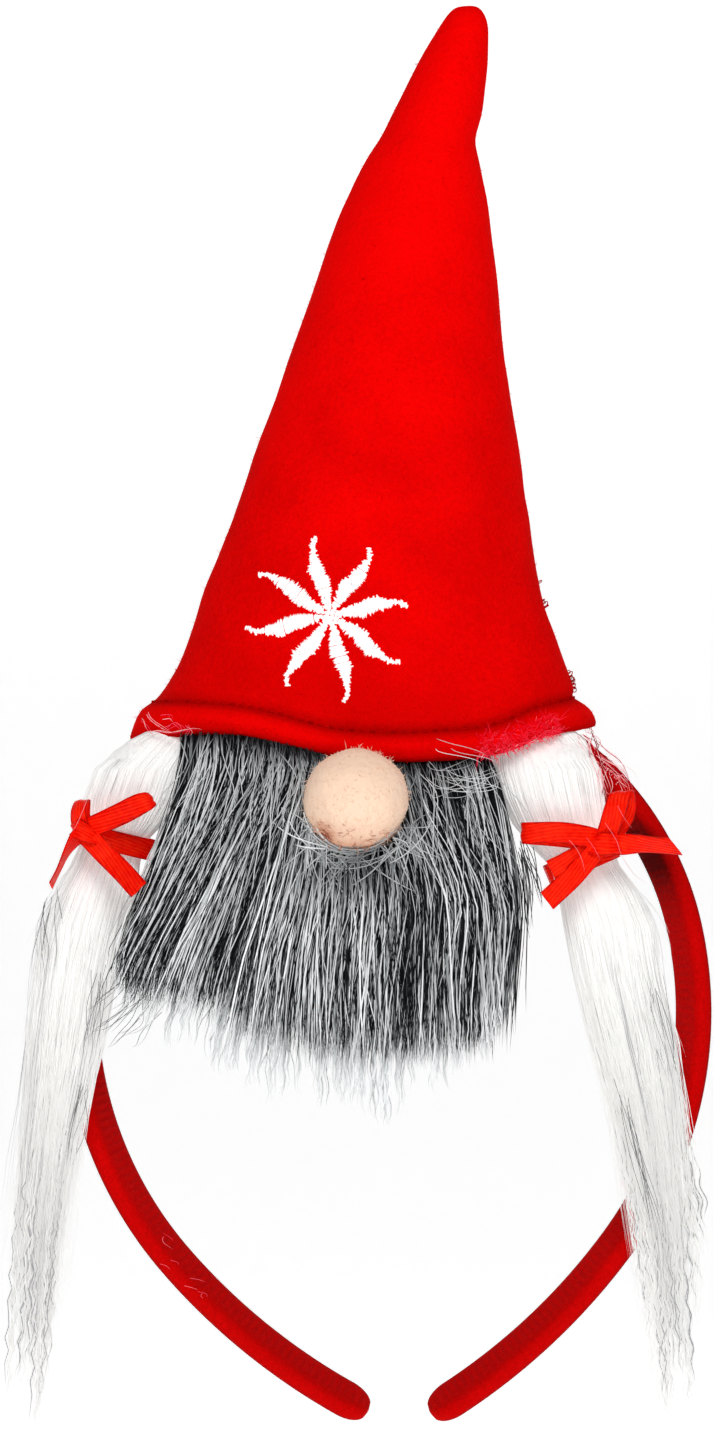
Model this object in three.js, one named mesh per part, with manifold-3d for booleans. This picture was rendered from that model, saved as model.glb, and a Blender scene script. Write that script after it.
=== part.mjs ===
// A gnome headband: a stuffed red felt hat with a fur beard, a ball nose and two tied pigtails on a hairband.
// Millimetres. Seen from the front, +X is to the right, +Y is away from the viewer and +Z is up.
// The origin is the middle of the band's inner face at its crown, where it rests on the top of a head.
import * as THREE from 'three'
import { mergeVertices } from 'three/addons/utils/BufferGeometryUtils.js'
import Module from 'manifold-3d'

const wasm = await Module()
wasm.setup()

// Clearance between pieces that touch
const gap = 0.3

// The hairband: a springy strip under velvet, round at its ends
const bandWidth = 12
const bandThick = 4.2
const bandRoll = 27 // degrees that the strip is coned, so its inner face looks forwards
const bandLean = 2.3 // degrees that the band leans to the left under the hat
const crownRadius = 67.8
const crownTurn = 79.4
const sideRadius = 86.5
const sideTurn = 49
const armRadius = 141
const armLength = 224 // from the middle of the strip to each end
const armShift = 1 // how far the strip's middle lies to the right of the crown
const bandSides = 10
const bandStep = 9.6

// The hat: a felt cone, wider than deep at the hem, with its tip to the right
const hatWidth = 101
const hatDepth = 56.6
const hatHeight = 160.9
const hatLean = 22.7
const hatMid = -2.1
const hemRise = -6.5 // the height of the hem at its sides
const hemDip = 7.5
const feltWall = 1.8
const hatSides = 32

// The wadding in the hat, hollowed below where the band's crown carries it
const waddingFloor = 1
const waddingSides = 16

// The snowflake stitched on the front of the hat
const flakeLeft = 7.8 // from the middle of the hem
const flakeRise = 24.7 // from the hem at its sides
const flakeReach = 18.3
const flakeHub = 1.7
const petalWidth = 4.6
const threadThick = 0.7

// The nose: a ball of felted wool
const noseWidth = 23.3
const noseHeight = 21.8
const noseLeft = 2 // from the middle of the hem
const noseDrop = 8 // from the dip of the hem to the middle of the ball

// The petals, at turns in degrees from +X, with reaches as shares of the flake's
const petalRows = [
  { turn: 104, reach: 1 },
  { turn: 55, reach: 0.96 },
  { turn: 11, reach: 0.98 },
  { turn: -38, reach: 1.03 },
  { turn: -77, reach: 1.05 },
  { turn: -126, reach: 0.98 },
  { turn: -168, reach: 1 },
  { turn: 146, reach: 0.98 },
]

// The beard: a strip of fur behind the front hem
const beardLeft = 6.9 // from the middle of the hem
const beardRootWidth = 66
const beardWidth = 86
const beardSway = -3 // how far the tips hang to the left
const beardLength = 91
const lockRootDrop = 3 // from the hem down to the roots of the locks
const lockFlatten = 0.55 // how far the locks swing from the hem's oval to one flat front
const lockUneven = 0.035 // share of their length by which neighbours differ
const backingThick = 2
const backingDrop = 40
const lockThick = 6.4

// The pigtails: long hair, tied off below the hem
const pigtailLength = 160
const pigtailWidth = 20
const pigtailDepth = 16
const pigtailForward = 15
const tipGirth = 0.22 // of a lock at the tip, as a share of the whole pigtail's

// The bows: narrow satin ribbon
const bowReach = 19.5 // from the knot to the end of the longest loop
const ribbonWidth = 4.6
const ribbonThick = 0.9
const knotSize = 5
const knotDepth = 4.2

const deg = Math.PI / 180
const rollSin = Math.sin(bandRoll * deg)
const rollCos = Math.cos(bandRoll * deg)
const crownLift = bandThick / 2 / rollCos
const bandReach = bandThick / 2 + ((bandWidth - bandThick) / 2) * rollSin
const beardMid = hatMid - beardLeft
const beardTuck = waddingFloor - gap // the height of the fur's upper edge, inside the hat

// Rows up the hat. up is a share of its height, mid of its lean, half and deep of the hem's half width and
// half depth, and proud of the felt's thickness. The hem is turned up double, and its stitching draws in a
// groove.
const hatRows = [
  { up: 0, mid: 0, half: 1, deep: 1, proud: 0.2 },
  { up: 0.032, mid: 0.01, half: 0.94, deep: 0.99, proud: 0.3 },
  { up: 0.042, mid: 0.02, half: 0.915, deep: 0.985, proud: -0.15 },
  { up: 0.054, mid: 0.035, half: 0.9, deep: 0.98, proud: 0.1 },
  { up: 0.085, mid: 0.06, half: 0.85, deep: 0.97, proud: 0 },
  { up: 0.122, mid: 0.075, half: 0.8, deep: 0.955, proud: 0 },
  { up: 0.177, mid: 0.06, half: 0.748, deep: 0.94, proud: 0 },
  { up: 0.232, mid: 0.11, half: 0.702, deep: 0.92, proud: 0 },
  { up: 0.288, mid: 0.15, half: 0.652, deep: 0.89, proud: 0 },
  { up: 0.343, mid: 0.198, half: 0.6, deep: 0.855, proud: 0 },
  { up: 0.453, mid: 0.278, half: 0.518, deep: 0.77, proud: 0 },
  { up: 0.564, mid: 0.348, half: 0.427, deep: 0.67, proud: 0 },
  { up: 0.674, mid: 0.449, half: 0.354, deep: 0.57, proud: 0 },
  { up: 0.73, mid: 0.51, half: 0.302, deep: 0.5, proud: 0 },
  { up: 0.785, mid: 0.559, half: 0.252, deep: 0.42, proud: 0 },
  { up: 0.812, mid: 0.604, half: 0.205, deep: 0.375, proud: 0 },
  { up: 0.84, mid: 0.696, half: 0.197, deep: 0.34, proud: 0 },
  { up: 0.896, mid: 0.81, half: 0.168, deep: 0.29, proud: 0 },
  { up: 0.95, mid: 0.935, half: 0.131, deep: 0.225, proud: 0 },
  { up: 0.98, mid: 0.985, half: 0.096, deep: 0.165, proud: 0 },
  { up: 0.995, mid: 1, half: 0.053, deep: 0.09, proud: 0 },
]

// How far the hem dips, as a share of hemDip, at each turn in degrees to the right of its front
const hemRows = [
  { turn: -180, dip: 0.5 },
  { turn: -120, dip: 0.1 },
  { turn: -55, dip: 0.05 },
  { turn: -32, dip: 0.2 },
  { turn: -18, dip: 0.55 },
  { turn: -8, dip: 0.95 },
  { turn: 10, dip: 1 },
  { turn: 20, dip: 0.85 },
  { turn: 29, dip: 1 },
  { turn: 40, dip: 0.62 },
  { turn: 54, dip: 0.15 },
  { turn: 90, dip: -0.08 },
  { turn: 120, dip: 0.1 },
  { turn: 180, dip: 0.5 },
]
const hemFade = { full: 0.05, gone: 0.2 } // shares of the hat's height between which the dip dies away

// The fall of the beard as a share of its length, from its left edge at -1 to its right edge at 1
const beardRows = [
  { across: -1, fall: 0.74 },
  { across: -0.8, fall: 0.76 },
  { across: -0.55, fall: 0.8 },
  { across: -0.3, fall: 0.88 },
  { across: -0.1, fall: 0.97 },
  { across: 0.15, fall: 1 },
  { across: 0.45, fall: 0.97 },
  { across: 0.7, fall: 0.9 },
  { across: 1, fall: 0.74 },
]

// Layers of locks from the back of the beard to its front, with lengths as shares of the beard's
const beardLayers = [
  { locks: 9, forward: 0.04, length: 1, wide: 0.64 },
  { locks: 8, forward: 0.11, length: 0.94, wide: 0.67 },
  { locks: 7, forward: 0.16, length: 0.84, wide: 0.7 },
]

// The way of a lock down the beard: it swings out from its root to the front, and back a little at its tip,
// by shares of its thickness
const lockSway = [
  { down: 0, back: 0 },
  { down: 0.16, back: 0.15 },
  { down: 0.45, back: -0.15 },
  { down: 0.75, back: 0 },
  { down: 1, back: 0.3 },
]

// The girth of a lock from its root to its tip
const lockRows = [
  { along: 0, girth: 0.8 },
  { along: 0.24, girth: 1 },
  { along: 0.6, girth: 0.9 },
  { along: 0.89, girth: 0.55 },
]

// Rows down each pigtail. down is a share of its length, out of its reach sideways, half and deep of its half
// width and half depth, and fore of how far it stands in front of the band. root is where it leaves the hem,
// as a share of the hem's half width, and reach and neck are shares of its length: how far it swings out, and
// how far down the ribbon ties it. A bow's lengths are shares of its reach, its rise and puff of the ribbon's
// width, and its knot's place of the pigtail's half width.
const leftPigtail = {
  name: 'left',
  root: -0.85,
  reach: -0.194,
  rows: [
    { down: 0, out: -0.16, half: 0.38, deep: 0.36, fore: 0.66 },
    { down: 0.044, out: -0.12, half: 0.42, deep: 0.4, fore: 0.66 },
    { down: 0.053, out: 0.03, half: 0.66, deep: 0.6, fore: 0.76 },
    { down: 0.084, out: 0.2, half: 0.8, deep: 0.84, fore: 0.92 },
    { down: 0.118, out: 0.29, half: 0.86, deep: 0.97, fore: 1 },
    { down: 0.148, out: 0.355, half: 0.83, deep: 0.94, fore: 1.01 },
    { down: 0.173, out: 0.4, half: 0.72, deep: 0.74, fore: 0.98 },
    { down: 0.198, out: 0.42, half: 0.6, deep: 0.56, fore: 0.96 },
    { down: 0.223, out: 0.445, half: 0.66, deep: 0.62, fore: 0.96 },
    { down: 0.254, out: 0.5, half: 0.86, deep: 0.76, fore: 0.96 },
    { down: 0.31, out: 0.6, half: 0.97, deep: 0.84, fore: 0.94 },
    { down: 0.392, out: 0.68, half: 0.84, deep: 0.8, fore: 0.91 },
    { down: 0.517, out: 0.78, half: 0.7, deep: 0.7, fore: 0.88 },
    { down: 0.642, out: 0.87, half: 0.57, deep: 0.6, fore: 0.86 },
    { down: 0.767, out: 0.955, half: 0.4, deep: 0.48, fore: 0.84 },
    { down: 0.86, out: 0.98, half: 0.26, deep: 0.3, fore: 0.83 },
    { down: 0.94, out: 0.985, half: 0.1, deep: 0.12, fore: 0.82 },
  ],
  bow: [
    { kind: 'loop', turn: 25.6, length: 0.9, rise: -0.22, wide: 1.08, puff: 0.74, twist: 8 },
    { kind: 'loop', turn: 104, length: 0.4, rise: 0.54, wide: 0.9, puff: 0.56, twist: -38 },
    { kind: 'tail', turn: -46, length: 0.9, rise: -0.26, wide: 0.94, puff: 0.26, twist: 6 },
    { kind: 'tail', turn: 238, length: 0.73, rise: 0.56, wide: 0.9, puff: 0.33, twist: 70 },
  ],
  neck: 0.198,
  knot: { x: -0.62, z: 0.06 },
}
const rightPigtail = {
  name: 'right',
  root: 0.824,
  reach: 0.166,
  rows: [
    { down: 0, out: -0.2, half: 0.36, deep: 0.36, fore: 0.66 },
    { down: 0.044, out: -0.2, half: 0.42, deep: 0.4, fore: 0.66 },
    { down: 0.053, out: -0.07, half: 0.84, deep: 0.6, fore: 0.76 },
    { down: 0.079, out: -0.05, half: 0.98, deep: 0.84, fore: 0.92 },
    { down: 0.117, out: 0.01, half: 0.98, deep: 0.98, fore: 1 },
    { down: 0.154, out: 0.08, half: 0.92, deep: 0.95, fore: 1.01 },
    { down: 0.186, out: 0.15, half: 0.76, deep: 0.74, fore: 0.98 },
    { down: 0.214, out: 0.225, half: 0.62, deep: 0.56, fore: 0.96 },
    { down: 0.242, out: 0.29, half: 0.7, deep: 0.64, fore: 0.96 },
    { down: 0.282, out: 0.4, half: 0.94, deep: 0.8, fore: 0.96 },
    { down: 0.33, out: 0.475, half: 0.98, deep: 0.84, fore: 0.94 },
    { down: 0.395, out: 0.535, half: 0.88, deep: 0.8, fore: 0.91 },
    { down: 0.517, out: 0.715, half: 0.8, deep: 0.72, fore: 0.88 },
    { down: 0.642, out: 0.86, half: 0.69, deep: 0.62, fore: 0.86 },
    { down: 0.767, out: 0.965, half: 0.58, deep: 0.5, fore: 0.84 },
    { down: 0.87, out: 0.975, half: 0.42, deep: 0.34, fore: 0.83 },
    { down: 0.94, out: 0.99, half: 0.18, deep: 0.16, fore: 0.82 },
  ],
  bow: [
    { kind: 'loop', turn: 174, length: 1, rise: -0.13, wide: 1, puff: 0.74, twist: -6 },
    { kind: 'loop', turn: 62, length: 0.64, rise: 0.48, wide: 0.98, puff: 0.65, twist: 24 },
    { kind: 'tail', turn: 222, length: 0.97, rise: -0.3, wide: 1, puff: 0.26, twist: -5 },
    { kind: 'tail', turn: -5, length: 0.85, rise: 0.3, wide: 0.66, puff: 0.33, twist: 12 },
  ],
  neck: 0.214,
  knot: { x: 0.56, z: 0.12 },
}

// The spread of the lock tips at a pigtail's end: sideways, down and forwards, as shares of its half width,
// its length and its half depth
const tipRows = [
  { side: -0.75, down: 0.86, fore: -0.1 },
  { side: -0.45, down: 0.95, fore: 0.2 },
  { side: -0.1, down: 1.01, fore: -0.15 },
  { side: 0.15, down: 0.98, fore: 0.2 },
  { side: 0.4, down: 0.93, fore: -0.1 },
  { side: 0.62, down: 0.84, fore: 0.1 },
]

const tipSpan = { from: 0.517, to: 0.86 } // shares of its length between which the locks of its tip run

// The way of a ribbon out of a knot: along as a share of its length, and lift of its puff, to the front
const loopRows = [
  { along: 0, lift: 0.18 },
  { along: 0.35, lift: 0.8 },
  { along: 0.75, lift: 1 },
  { along: 0.97, lift: 0.55 },
  { along: 0.97, lift: -0.1 },
  { along: 0.7, lift: -0.3 },
  { along: 0.3, lift: -0.1 },
  { along: 0, lift: -0.18 },
]
const tailRows = [
  { along: 0, lift: 0 },
  { along: 0.3, lift: 0.5 },
  { along: 0.65, lift: 0 },
  { along: 1, lift: 0.3 },
]

// The value of one column at a place in a table, on straight lines between its rows
function valueAt(rows, place, column, at) {
  const after = rows.findIndex((row) => row[place] >= at)
  if (after === 0) return rows[0][column]
  if (after < 0) return rows[rows.length - 1][column]
  const [low, high] = [rows[after - 1], rows[after]]
  return THREE.MathUtils.mapLinear(at, low[place], high[place], low[column], high[column])
}

// A closed body through rings of points that all run the same way round. Its ends are closed by fans, or it
// is endless, with its last ring joined to its first.
function loft(rings, endless = false) {
  const count = rings[0].length
  const places = rings.flat()
  const faces = []
  for (let ring = 0; ring < rings.length - (endless ? 0 : 1); ring += 1) {
    const [from, to] = [ring * count, ((ring + 1) % rings.length) * count]
    for (let i = 0; i < count; i += 1) {
      const next = (i + 1) % count
      faces.push(from + i, from + next, to + next, from + i, to + next, to + i)
    }
  }
  for (const end of endless ? [] : [0, rings.length - 1]) {
    const middle = places.length
    places.push(average(rings[end]))
    for (let i = 0; i < count; i += 1) {
      const edge = [end * count + i, end * count + ((i + 1) % count)]
      faces.push(...(end === 0 ? edge.reverse() : edge), middle)
    }
  }
  const geometry = new THREE.BufferGeometry().setFromPoints(places)
  geometry.setIndex(faces)
  return facingOut(geometry)
}

function average(points) {
  return points.reduce((sum, point) => sum.add(point), new THREE.Vector3()).divideScalar(points.length)
}

// Turns every face over if the body's volume comes out negative
function facingOut(geometry) {
  const [place, index] = [geometry.getAttribute('position'), geometry.getIndex()]
  const corner = (i) => new THREE.Vector3().fromBufferAttribute(place, index.getX(i))
  let volume = 0
  for (let i = 0; i < index.count; i += 3) {
    volume += corner(i).dot(corner(i + 1).cross(corner(i + 2)))
  }
  if (volume < 0) {
    const turned = Array.from(index.array)
    for (let i = 0; i < turned.length; i += 3) [turned[i], turned[i + 1]] = [turned[i + 1], turned[i]]
    geometry.setIndex(turned)
  }
  return geometry
}

function solid(geometry) {
  const bare = geometry.clone()
  bare.deleteAttribute('normal')
  bare.deleteAttribute('uv')
  const merged = mergeVertices(bare, 1e-4)
  return new wasm.Manifold(
    new wasm.Mesh({
      numProp: 3,
      vertProperties: new Float32Array(merged.getAttribute('position').array),
      triVerts: new Uint32Array(merged.getIndex().array),
    }),
  )
}

function geometryOf(manifold) {
  const mesh = manifold.getMesh()
  const geometry = new THREE.BufferGeometry()
  geometry.setAttribute('position', new THREE.BufferAttribute(mesh.vertProperties, 3))
  geometry.setIndex(Array.from(mesh.triVerts))
  return geometry
}

const joined = (solids) => solids.reduce((whole, next) => whole.add(next))

// The largest body of a cut piece, without the crumbs that a cut leaves
function mainBody(manifold) {
  return manifold.decompose().reduce((best, next) => (next.volume() > best.volume() ? next : best))
}

// The band's middle line at a distance along it from the crown: place, and heading down from +X
function bandAt(distance) {
  const arcs = [
    { radius: crownRadius, turn: crownTurn * deg },
    { radius: sideRadius, turn: sideTurn * deg },
    { radius: armRadius, turn: Infinity },
  ]
  let [x, z, heading, left] = [0, crownLift, 0, Math.abs(distance)]
  for (const arc of arcs) {
    const end = heading + Math.min(arc.turn, left / arc.radius)
    x += arc.radius * (Math.sin(end) - Math.sin(heading))
    z += arc.radius * (Math.cos(end) - Math.cos(heading))
    left -= arc.radius * (end - heading)
    heading = end
  }
  const side = Math.sign(distance) || 1
  return { x: x * side, z, outX: Math.sin(heading) * side, outZ: Math.cos(heading) }
}

// A ring round the strip, coned by the roll, with its size shrunk near the ends
function bandRing(distance, shrink, grow) {
  const at = bandAt(distance)
  const ring = []
  for (let i = 0; i < bandSides; i += 1) {
    const turn = ((i + 0.5) / bandSides) * 2 * Math.PI
    const halfThick = (bandThick / 2) * Math.sqrt(shrink) + grow
    const flat = ((bandWidth - bandThick) / 2) * shrink * Math.sign(Math.cos(turn))
    const across = flat + halfThick * Math.cos(turn)
    const through = halfThick * Math.sin(turn)
    const out = across * rollSin + through * rollCos
    const back = through * rollSin - across * rollCos
    ring.push(new THREE.Vector3(at.x + at.outX * out, back, at.z + at.outZ * out))
  }
  return ring
}

function bandGeometry(grow = 0) {
  const rings = []
  const round = bandWidth / 2
  const roundSteps = 4
  const straight = armLength - round
  const steps = Math.ceil((2 * straight) / bandStep)
  const ringAt = (distance, shrink) => rings.push(bandRing(distance + armShift, shrink, grow))
  for (let i = 1; i < roundSteps; i += 1) {
    const turn = (i / roundSteps) * (Math.PI / 2)
    ringAt(-armLength + round * (1 - Math.cos(turn)), Math.sin(turn))
  }
  for (let i = 0; i <= steps; i += 1) ringAt(-straight + (2 * straight * i) / steps, 1)
  for (let i = roundSteps - 1; i > 0; i -= 1) {
    const turn = (i / roundSteps) * (Math.PI / 2)
    ringAt(armLength - round * (1 - Math.cos(turn)), Math.sin(turn))
  }
  return loft(rings).rotateY(-bandLean * deg)
}

// How far the hem hangs below its sides, at a turn in radians from its front
function hemDrop(turn) {
  const degrees = THREE.MathUtils.euclideanModulo(turn / deg + 180, 360) - 180
  return hemDip * valueAt(hemRows, 'turn', 'dip', degrees)
}

// A ring round the hat at a row of its table, grown outwards by some millimetres
function hatRing(row, grow, sides = hatSides) {
  const ring = []
  const dipShare = 1 - THREE.MathUtils.smoothstep(row.up, hemFade.full, hemFade.gone)
  for (let i = 0; i < sides; i += 1) {
    const turn = (i / sides) * 2 * Math.PI
    const x = hatMid + row.mid * hatLean + ((row.half * hatWidth) / 2 + grow) * Math.sin(turn)
    const y = -((row.deep * hatDepth) / 2 + grow) * Math.cos(turn)
    const z = hemRise + row.up * hatHeight - hemDrop(turn) * dipShare
    ring.push(new THREE.Vector3(x, y, z))
  }
  return ring
}

// The row of a table at any place between its rows
function rowAt(rows, place, at) {
  const columns = Object.keys(rows[0]).map((column) => [column, valueAt(rows, place, column, at)])
  return { ...Object.fromEntries(columns), [place]: at }
}

// The inside of the hat needs fewer rows than its outside
const innerRows = hatRows.filter((row, i) => (i < 4 || i % 2 === 0) && row.up < 0.97)

// The felt shell: down its outside from the tip, round the hem and up its inside
function hatGeometry() {
  const outside = hatRows.map((row) => hatRing(row, row.proud * feltWall)).reverse()
  const inside = innerRows.map((row) => hatRing(row, -feltWall))
  return loft([...outside, ...inside])
}

// The space that the felt takes up, with a clearance all round it, as far up as hair is tucked in
function feltClearance() {
  const tucked = (row) => row.up < 0.3
  const below = (ring) => ring.map((point) => point.clone().setZ(point.z - gap))
  const outside = hatRows.filter(tucked).map((row) => hatRing(row, row.proud * feltWall + gap)).reverse()
  const inside = innerRows.filter(tucked).map((row) => hatRing(row, -feltWall - gap))
  return solid(loft([...outside, below(outside[outside.length - 1]), below(inside[0]), ...inside], true))
}

// The wadding fills the cone above its floor, less a saddle that clears the band's crown
function waddingGeometry() {
  const cone = solid(loft(innerRows.map((row) => hatRing(row, -feltWall - gap, waddingSides))))
  const below = new THREE.BoxGeometry(hatWidth, hatDepth, hatDepth)
  below.translate(hatMid, 0, waddingFloor - hatDepth / 2)
  const saddleRadius = crownRadius + bandReach + gap
  const saddle = new THREE.CylinderGeometry(saddleRadius, saddleRadius, hatDepth, 96)
  saddle.translate(0, 0, crownLift - crownRadius).rotateY(-bandLean * deg)
  return geometryOf(cone.subtract(solid(below)).subtract(solid(saddle)))
}

// One petal: a narrow neck, a leaf, and a small tab at its tip
function petalShape(reach) {
  const half = petalWidth / 2
  const edge = [
    { along: 0, out: 0.12 },
    { along: 0.2, out: 0.3 },
    { along: 0.44, out: 1 },
    { along: 0.62, out: 0.74 },
    { along: 0.86, out: 0.22 },
    { along: 0.88, out: 0.45 },
    { along: 1, out: 0.45 },
  ]
  const side = (sign) => edge.map((row) => new THREE.Vector2(row.along * reach, sign * row.out * half))
  return new THREE.Shape([...side(-1), ...side(1).reverse()])
}

// The petals are cut out of a thin skin that follows the front of the hat
function flakeGeometry() {
  const upright = (shape) =>
    new THREE.ExtrudeGeometry(shape, { depth: hatDepth, bevelEnabled: false, curveSegments: 6 })
  const hub = new THREE.Shape().absarc(0, 0, flakeHub, 0, 2 * Math.PI)
  const parts = [solid(upright(hub))]
  for (const petal of petalRows) {
    parts.push(solid(upright(petalShape(flakeReach * petal.reach)).rotateZ(petal.turn * deg)))
  }
  const flat = geometryOf(joined(parts)).rotateX(Math.PI / 2)
  const stamp = solid(flat.translate(hatMid - flakeLeft, 0, hemRise + flakeRise))
  const front = hatRows.filter((row) => row.up > 0.05 && row.up < 0.5)
  const skin = (grow) => solid(loft(front.map((row) => hatRing(row, grow))))
  return geometryOf(mainBody(stamp.intersect(skin(gap + threadThick).subtract(skin(gap)))))
}

// The ball rests against the lower edge of the front hem
function noseGeometry(grow = 0) {
  const ball = new THREE.SphereGeometry(1, 18, 11).rotateX(Math.PI / 2)
  ball.scale(noseWidth / 2 + grow, noseWidth / 2 + grow, noseHeight / 2 + grow)
  const share = Math.min(1, noseDrop / (noseHeight / 2))
  const behind = (noseWidth / 2) * Math.sqrt(1 - share ** 2)
  const hemFront = hatDepth / 2 + hatRows[0].proud * feltWall
  return ball.translate(hatMid - noseLeft, -hemFront - gap - behind, hemRise - hemDip - noseDrop)
}

// A tapering lock along a curve, wide across it and thinner from front to back
function lockGeometry(route, halfWide, halfThick, grow) {
  const sides = 5
  const curve = new THREE.CatmullRomCurve3(route)
  const rings = []
  for (const row of lockRows) {
    const [middle, along] = [curve.getPoint(row.along), curve.getTangent(row.along)]
    const wide = new THREE.Vector3(0, 1, 0).cross(along).normalize()
    const thick = along.clone().cross(wide)
    const ring = []
    for (let i = 0; i < sides; i += 1) {
      const turn = (i / sides) * 2 * Math.PI
      const across = (halfWide * row.girth + grow) * Math.cos(turn)
      const through = (halfThick * row.girth + grow) * Math.sin(turn)
      ring.push(middle.clone().addScaledVector(wide, across).addScaledVector(thick, through))
    }
    rings.push(ring)
  }
  const tip = curve.getPoint(1)
  const tipGrow = 0.12 // the size of the blunt tip, as a share of the last ring's
  rings.push(rings[rings.length - 1].map((point) => tip.clone().lerp(point, tipGrow)))
  return loft(rings)
}

// The oval inside the hat at the beard's upper edge, which the backing follows
function tuckOval() {
  const row = rowAt(hatRows, 'up', (beardTuck - hemRise) / hatHeight)
  return {
    x: hatMid + row.mid * hatLean,
    half: (row.half * hatWidth) / 2 - feltWall - gap,
    deep: (row.deep * hatDepth) / 2 - feltWall - gap,
  }
}

// The front of that oval at a place across it, level beyond its ends
function ovalY(oval, x) {
  return -oval.deep * Math.sqrt(Math.max(0.05, 1 - ((x - oval.x) / oval.half) ** 2))
}

// The woven backing of the fur: a curved strip that hangs from inside the front hem
function backingGeometry(grow) {
  const oval = tuckOval()
  const steps = 12
  const edge = (inset) => {
    const points = []
    for (let i = 0; i <= steps; i += 1) {
      const x = beardMid + (beardRootWidth / 2 + grow) * ((2 * i) / steps - 1)
      points.push(new THREE.Vector2(x, ovalY(oval, x) + inset))
    }
    return points
  }
  const shape = new THREE.Shape([...edge(-grow), ...edge(backingThick + grow).reverse()])
  const height = backingDrop + beardTuck + grow
  const strip = new THREE.ExtrudeGeometry(shape, { depth: height, bevelEnabled: false })
  return strip.translate(0, 0, -backingDrop - grow)
}

function beardSolid(grow = 0) {
  const oval = tuckOval()
  const hangY = -oval.deep
  const locks = []
  for (const layer of beardLayers) {
    for (let i = 0; i < layer.locks; i += 1) {
      const across = ((i + 0.5) / layer.locks) * 2 - 1
      const rootX = beardMid + (across * beardRootWidth) / 2
      const tipX = beardMid + beardSway + (across * beardWidth) / 2
      const rootY = ovalY(oval, rootX)
      const rootTurn = Math.asin(THREE.MathUtils.clamp((rootX - oval.x) / oval.half, -1, 1))
      const rootZ = hemRise - hemDrop(rootTurn) - lockRootDrop
      const forward = layer.forward * beardLength
      const frontY = THREE.MathUtils.lerp(rootY, hangY, lockFlatten) - forward
      const uneven = 1 + lockUneven * Math.sin(i * 2.4 + layer.forward * 90)
      const tipZ = -beardLength * layer.length * uneven * valueAt(beardRows, 'across', 'fall', across)
      const route = lockSway.map((step) => new THREE.Vector3(
        THREE.MathUtils.lerp(rootX, tipX, Math.sqrt(step.down)),
        step.down === 0 ? rootY : frontY + step.back * lockThick,
        THREE.MathUtils.lerp(rootZ, tipZ, step.down),
      ))
      const halfWide = (beardWidth / layer.locks) * layer.wide
      locks.push(solid(lockGeometry(route, halfWide, lockThick / 2, grow)))
    }
  }
  return joined(locks)
}

// The beard: its locks and its backing, clear of the felt and hollowed behind the nose
function makeBeard(felt, wadding) {
  const locks = beardSolid().add(solid(backingGeometry(0)))
  return mainBody(locks.subtract(felt).subtract(solid(noseGeometry(gap))).subtract(wadding))
}

function pigtailPlace(pigtail, row) {
  return new THREE.Vector3(
    hatMid + (pigtail.root * hatWidth) / 2 + row.out * pigtail.reach * pigtailLength,
    -row.fore * pigtailForward,
    beardTuck - row.down * pigtailLength,
  )
}

function pigtailRing(pigtail, row, grow) {
  const sides = 10
  const middle = pigtailPlace(pigtail, row)
  const ring = []
  for (let i = 0; i < sides; i += 1) {
    const turn = (i / sides) * 2 * Math.PI
    const across = ((row.half * pigtailWidth) / 2 + grow) * Math.cos(turn)
    const through = ((row.deep * pigtailDepth) / 2 + grow) * Math.sin(turn)
    ring.push(new THREE.Vector3(middle.x + across, middle.y + through, middle.z))
  }
  return ring
}

function pigtailSolid(pigtail, grow = 0) {
  const body = solid(loft(pigtail.rows.map((row) => pigtailRing(pigtail, row, grow))))
  const locks = tipRows.map((tip) => {
    const from = pigtailPlace(pigtail, rowAt(pigtail.rows, 'down', tipSpan.from))
    const to = pigtailPlace(pigtail, { ...rowAt(pigtail.rows, 'down', tipSpan.to), down: tip.down })
    const sideways = (tip.side * pigtailWidth) / 2
    const forwards = (-tip.fore * pigtailDepth) / 2
    const route = [0, 0.35, 0.7, 1].map((share) => {
      const point = from.clone().lerp(to, share)
      return point.add(new THREE.Vector3(sideways * (0.65 - 0.1 * share), forwards * (1 - share), 0))
    })
    return solid(lockGeometry(route, (pigtailWidth * tipGirth) / 2, (pigtailDepth * tipGirth) / 2, grow))
  })
  return joined([body, ...locks])
}

// A ribbon of even width along a route, lying across a given direction
function ribbonGeometry(route, acrossAt, width) {
  const curve = new THREE.CatmullRomCurve3(route)
  const steps = Math.ceil(route.length * 1.5)
  const rings = []
  for (let i = 0; i <= steps; i += 1) {
    const [middle, along] = [curve.getPoint(i / steps), curve.getTangent(i / steps)]
    const thick = along.clone().cross(acrossAt).normalize().multiplyScalar(ribbonThick / 2)
    const wide = thick.clone().cross(along).normalize().multiplyScalar(width / 2)
    rings.push([
      middle.clone().add(wide).add(thick),
      middle.clone().sub(wide).add(thick),
      middle.clone().sub(wide).sub(thick),
      middle.clone().add(wide).sub(thick),
    ])
  }
  return loft(rings)
}

// One loop or tail of a bow, seen from the front at a turn from +X and bent in depth
function bowRibbon(row, centre) {
  const along = new THREE.Vector3(Math.cos(row.turn * deg), 0, Math.sin(row.turn * deg))
  const side = new THREE.Vector3(-along.z, 0, along.x)
  const across = side.applyAxisAngle(along, row.twist * deg)
  const face = along.clone().cross(across).normalize()
  if (face.y > 0) face.negate()
  const route = (row.kind === 'loop' ? loopRows : tailRows).map((step) => {
    const point = centre.clone().addScaledVector(along, bowReach * row.length * step.along)
    point.y += ribbonWidth * row.rise * step.along
    return point.addScaledVector(face, ribbonWidth * row.puff * step.lift)
  })
  return solid(ribbonGeometry(route, across, ribbonWidth * row.wide))
}

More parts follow.
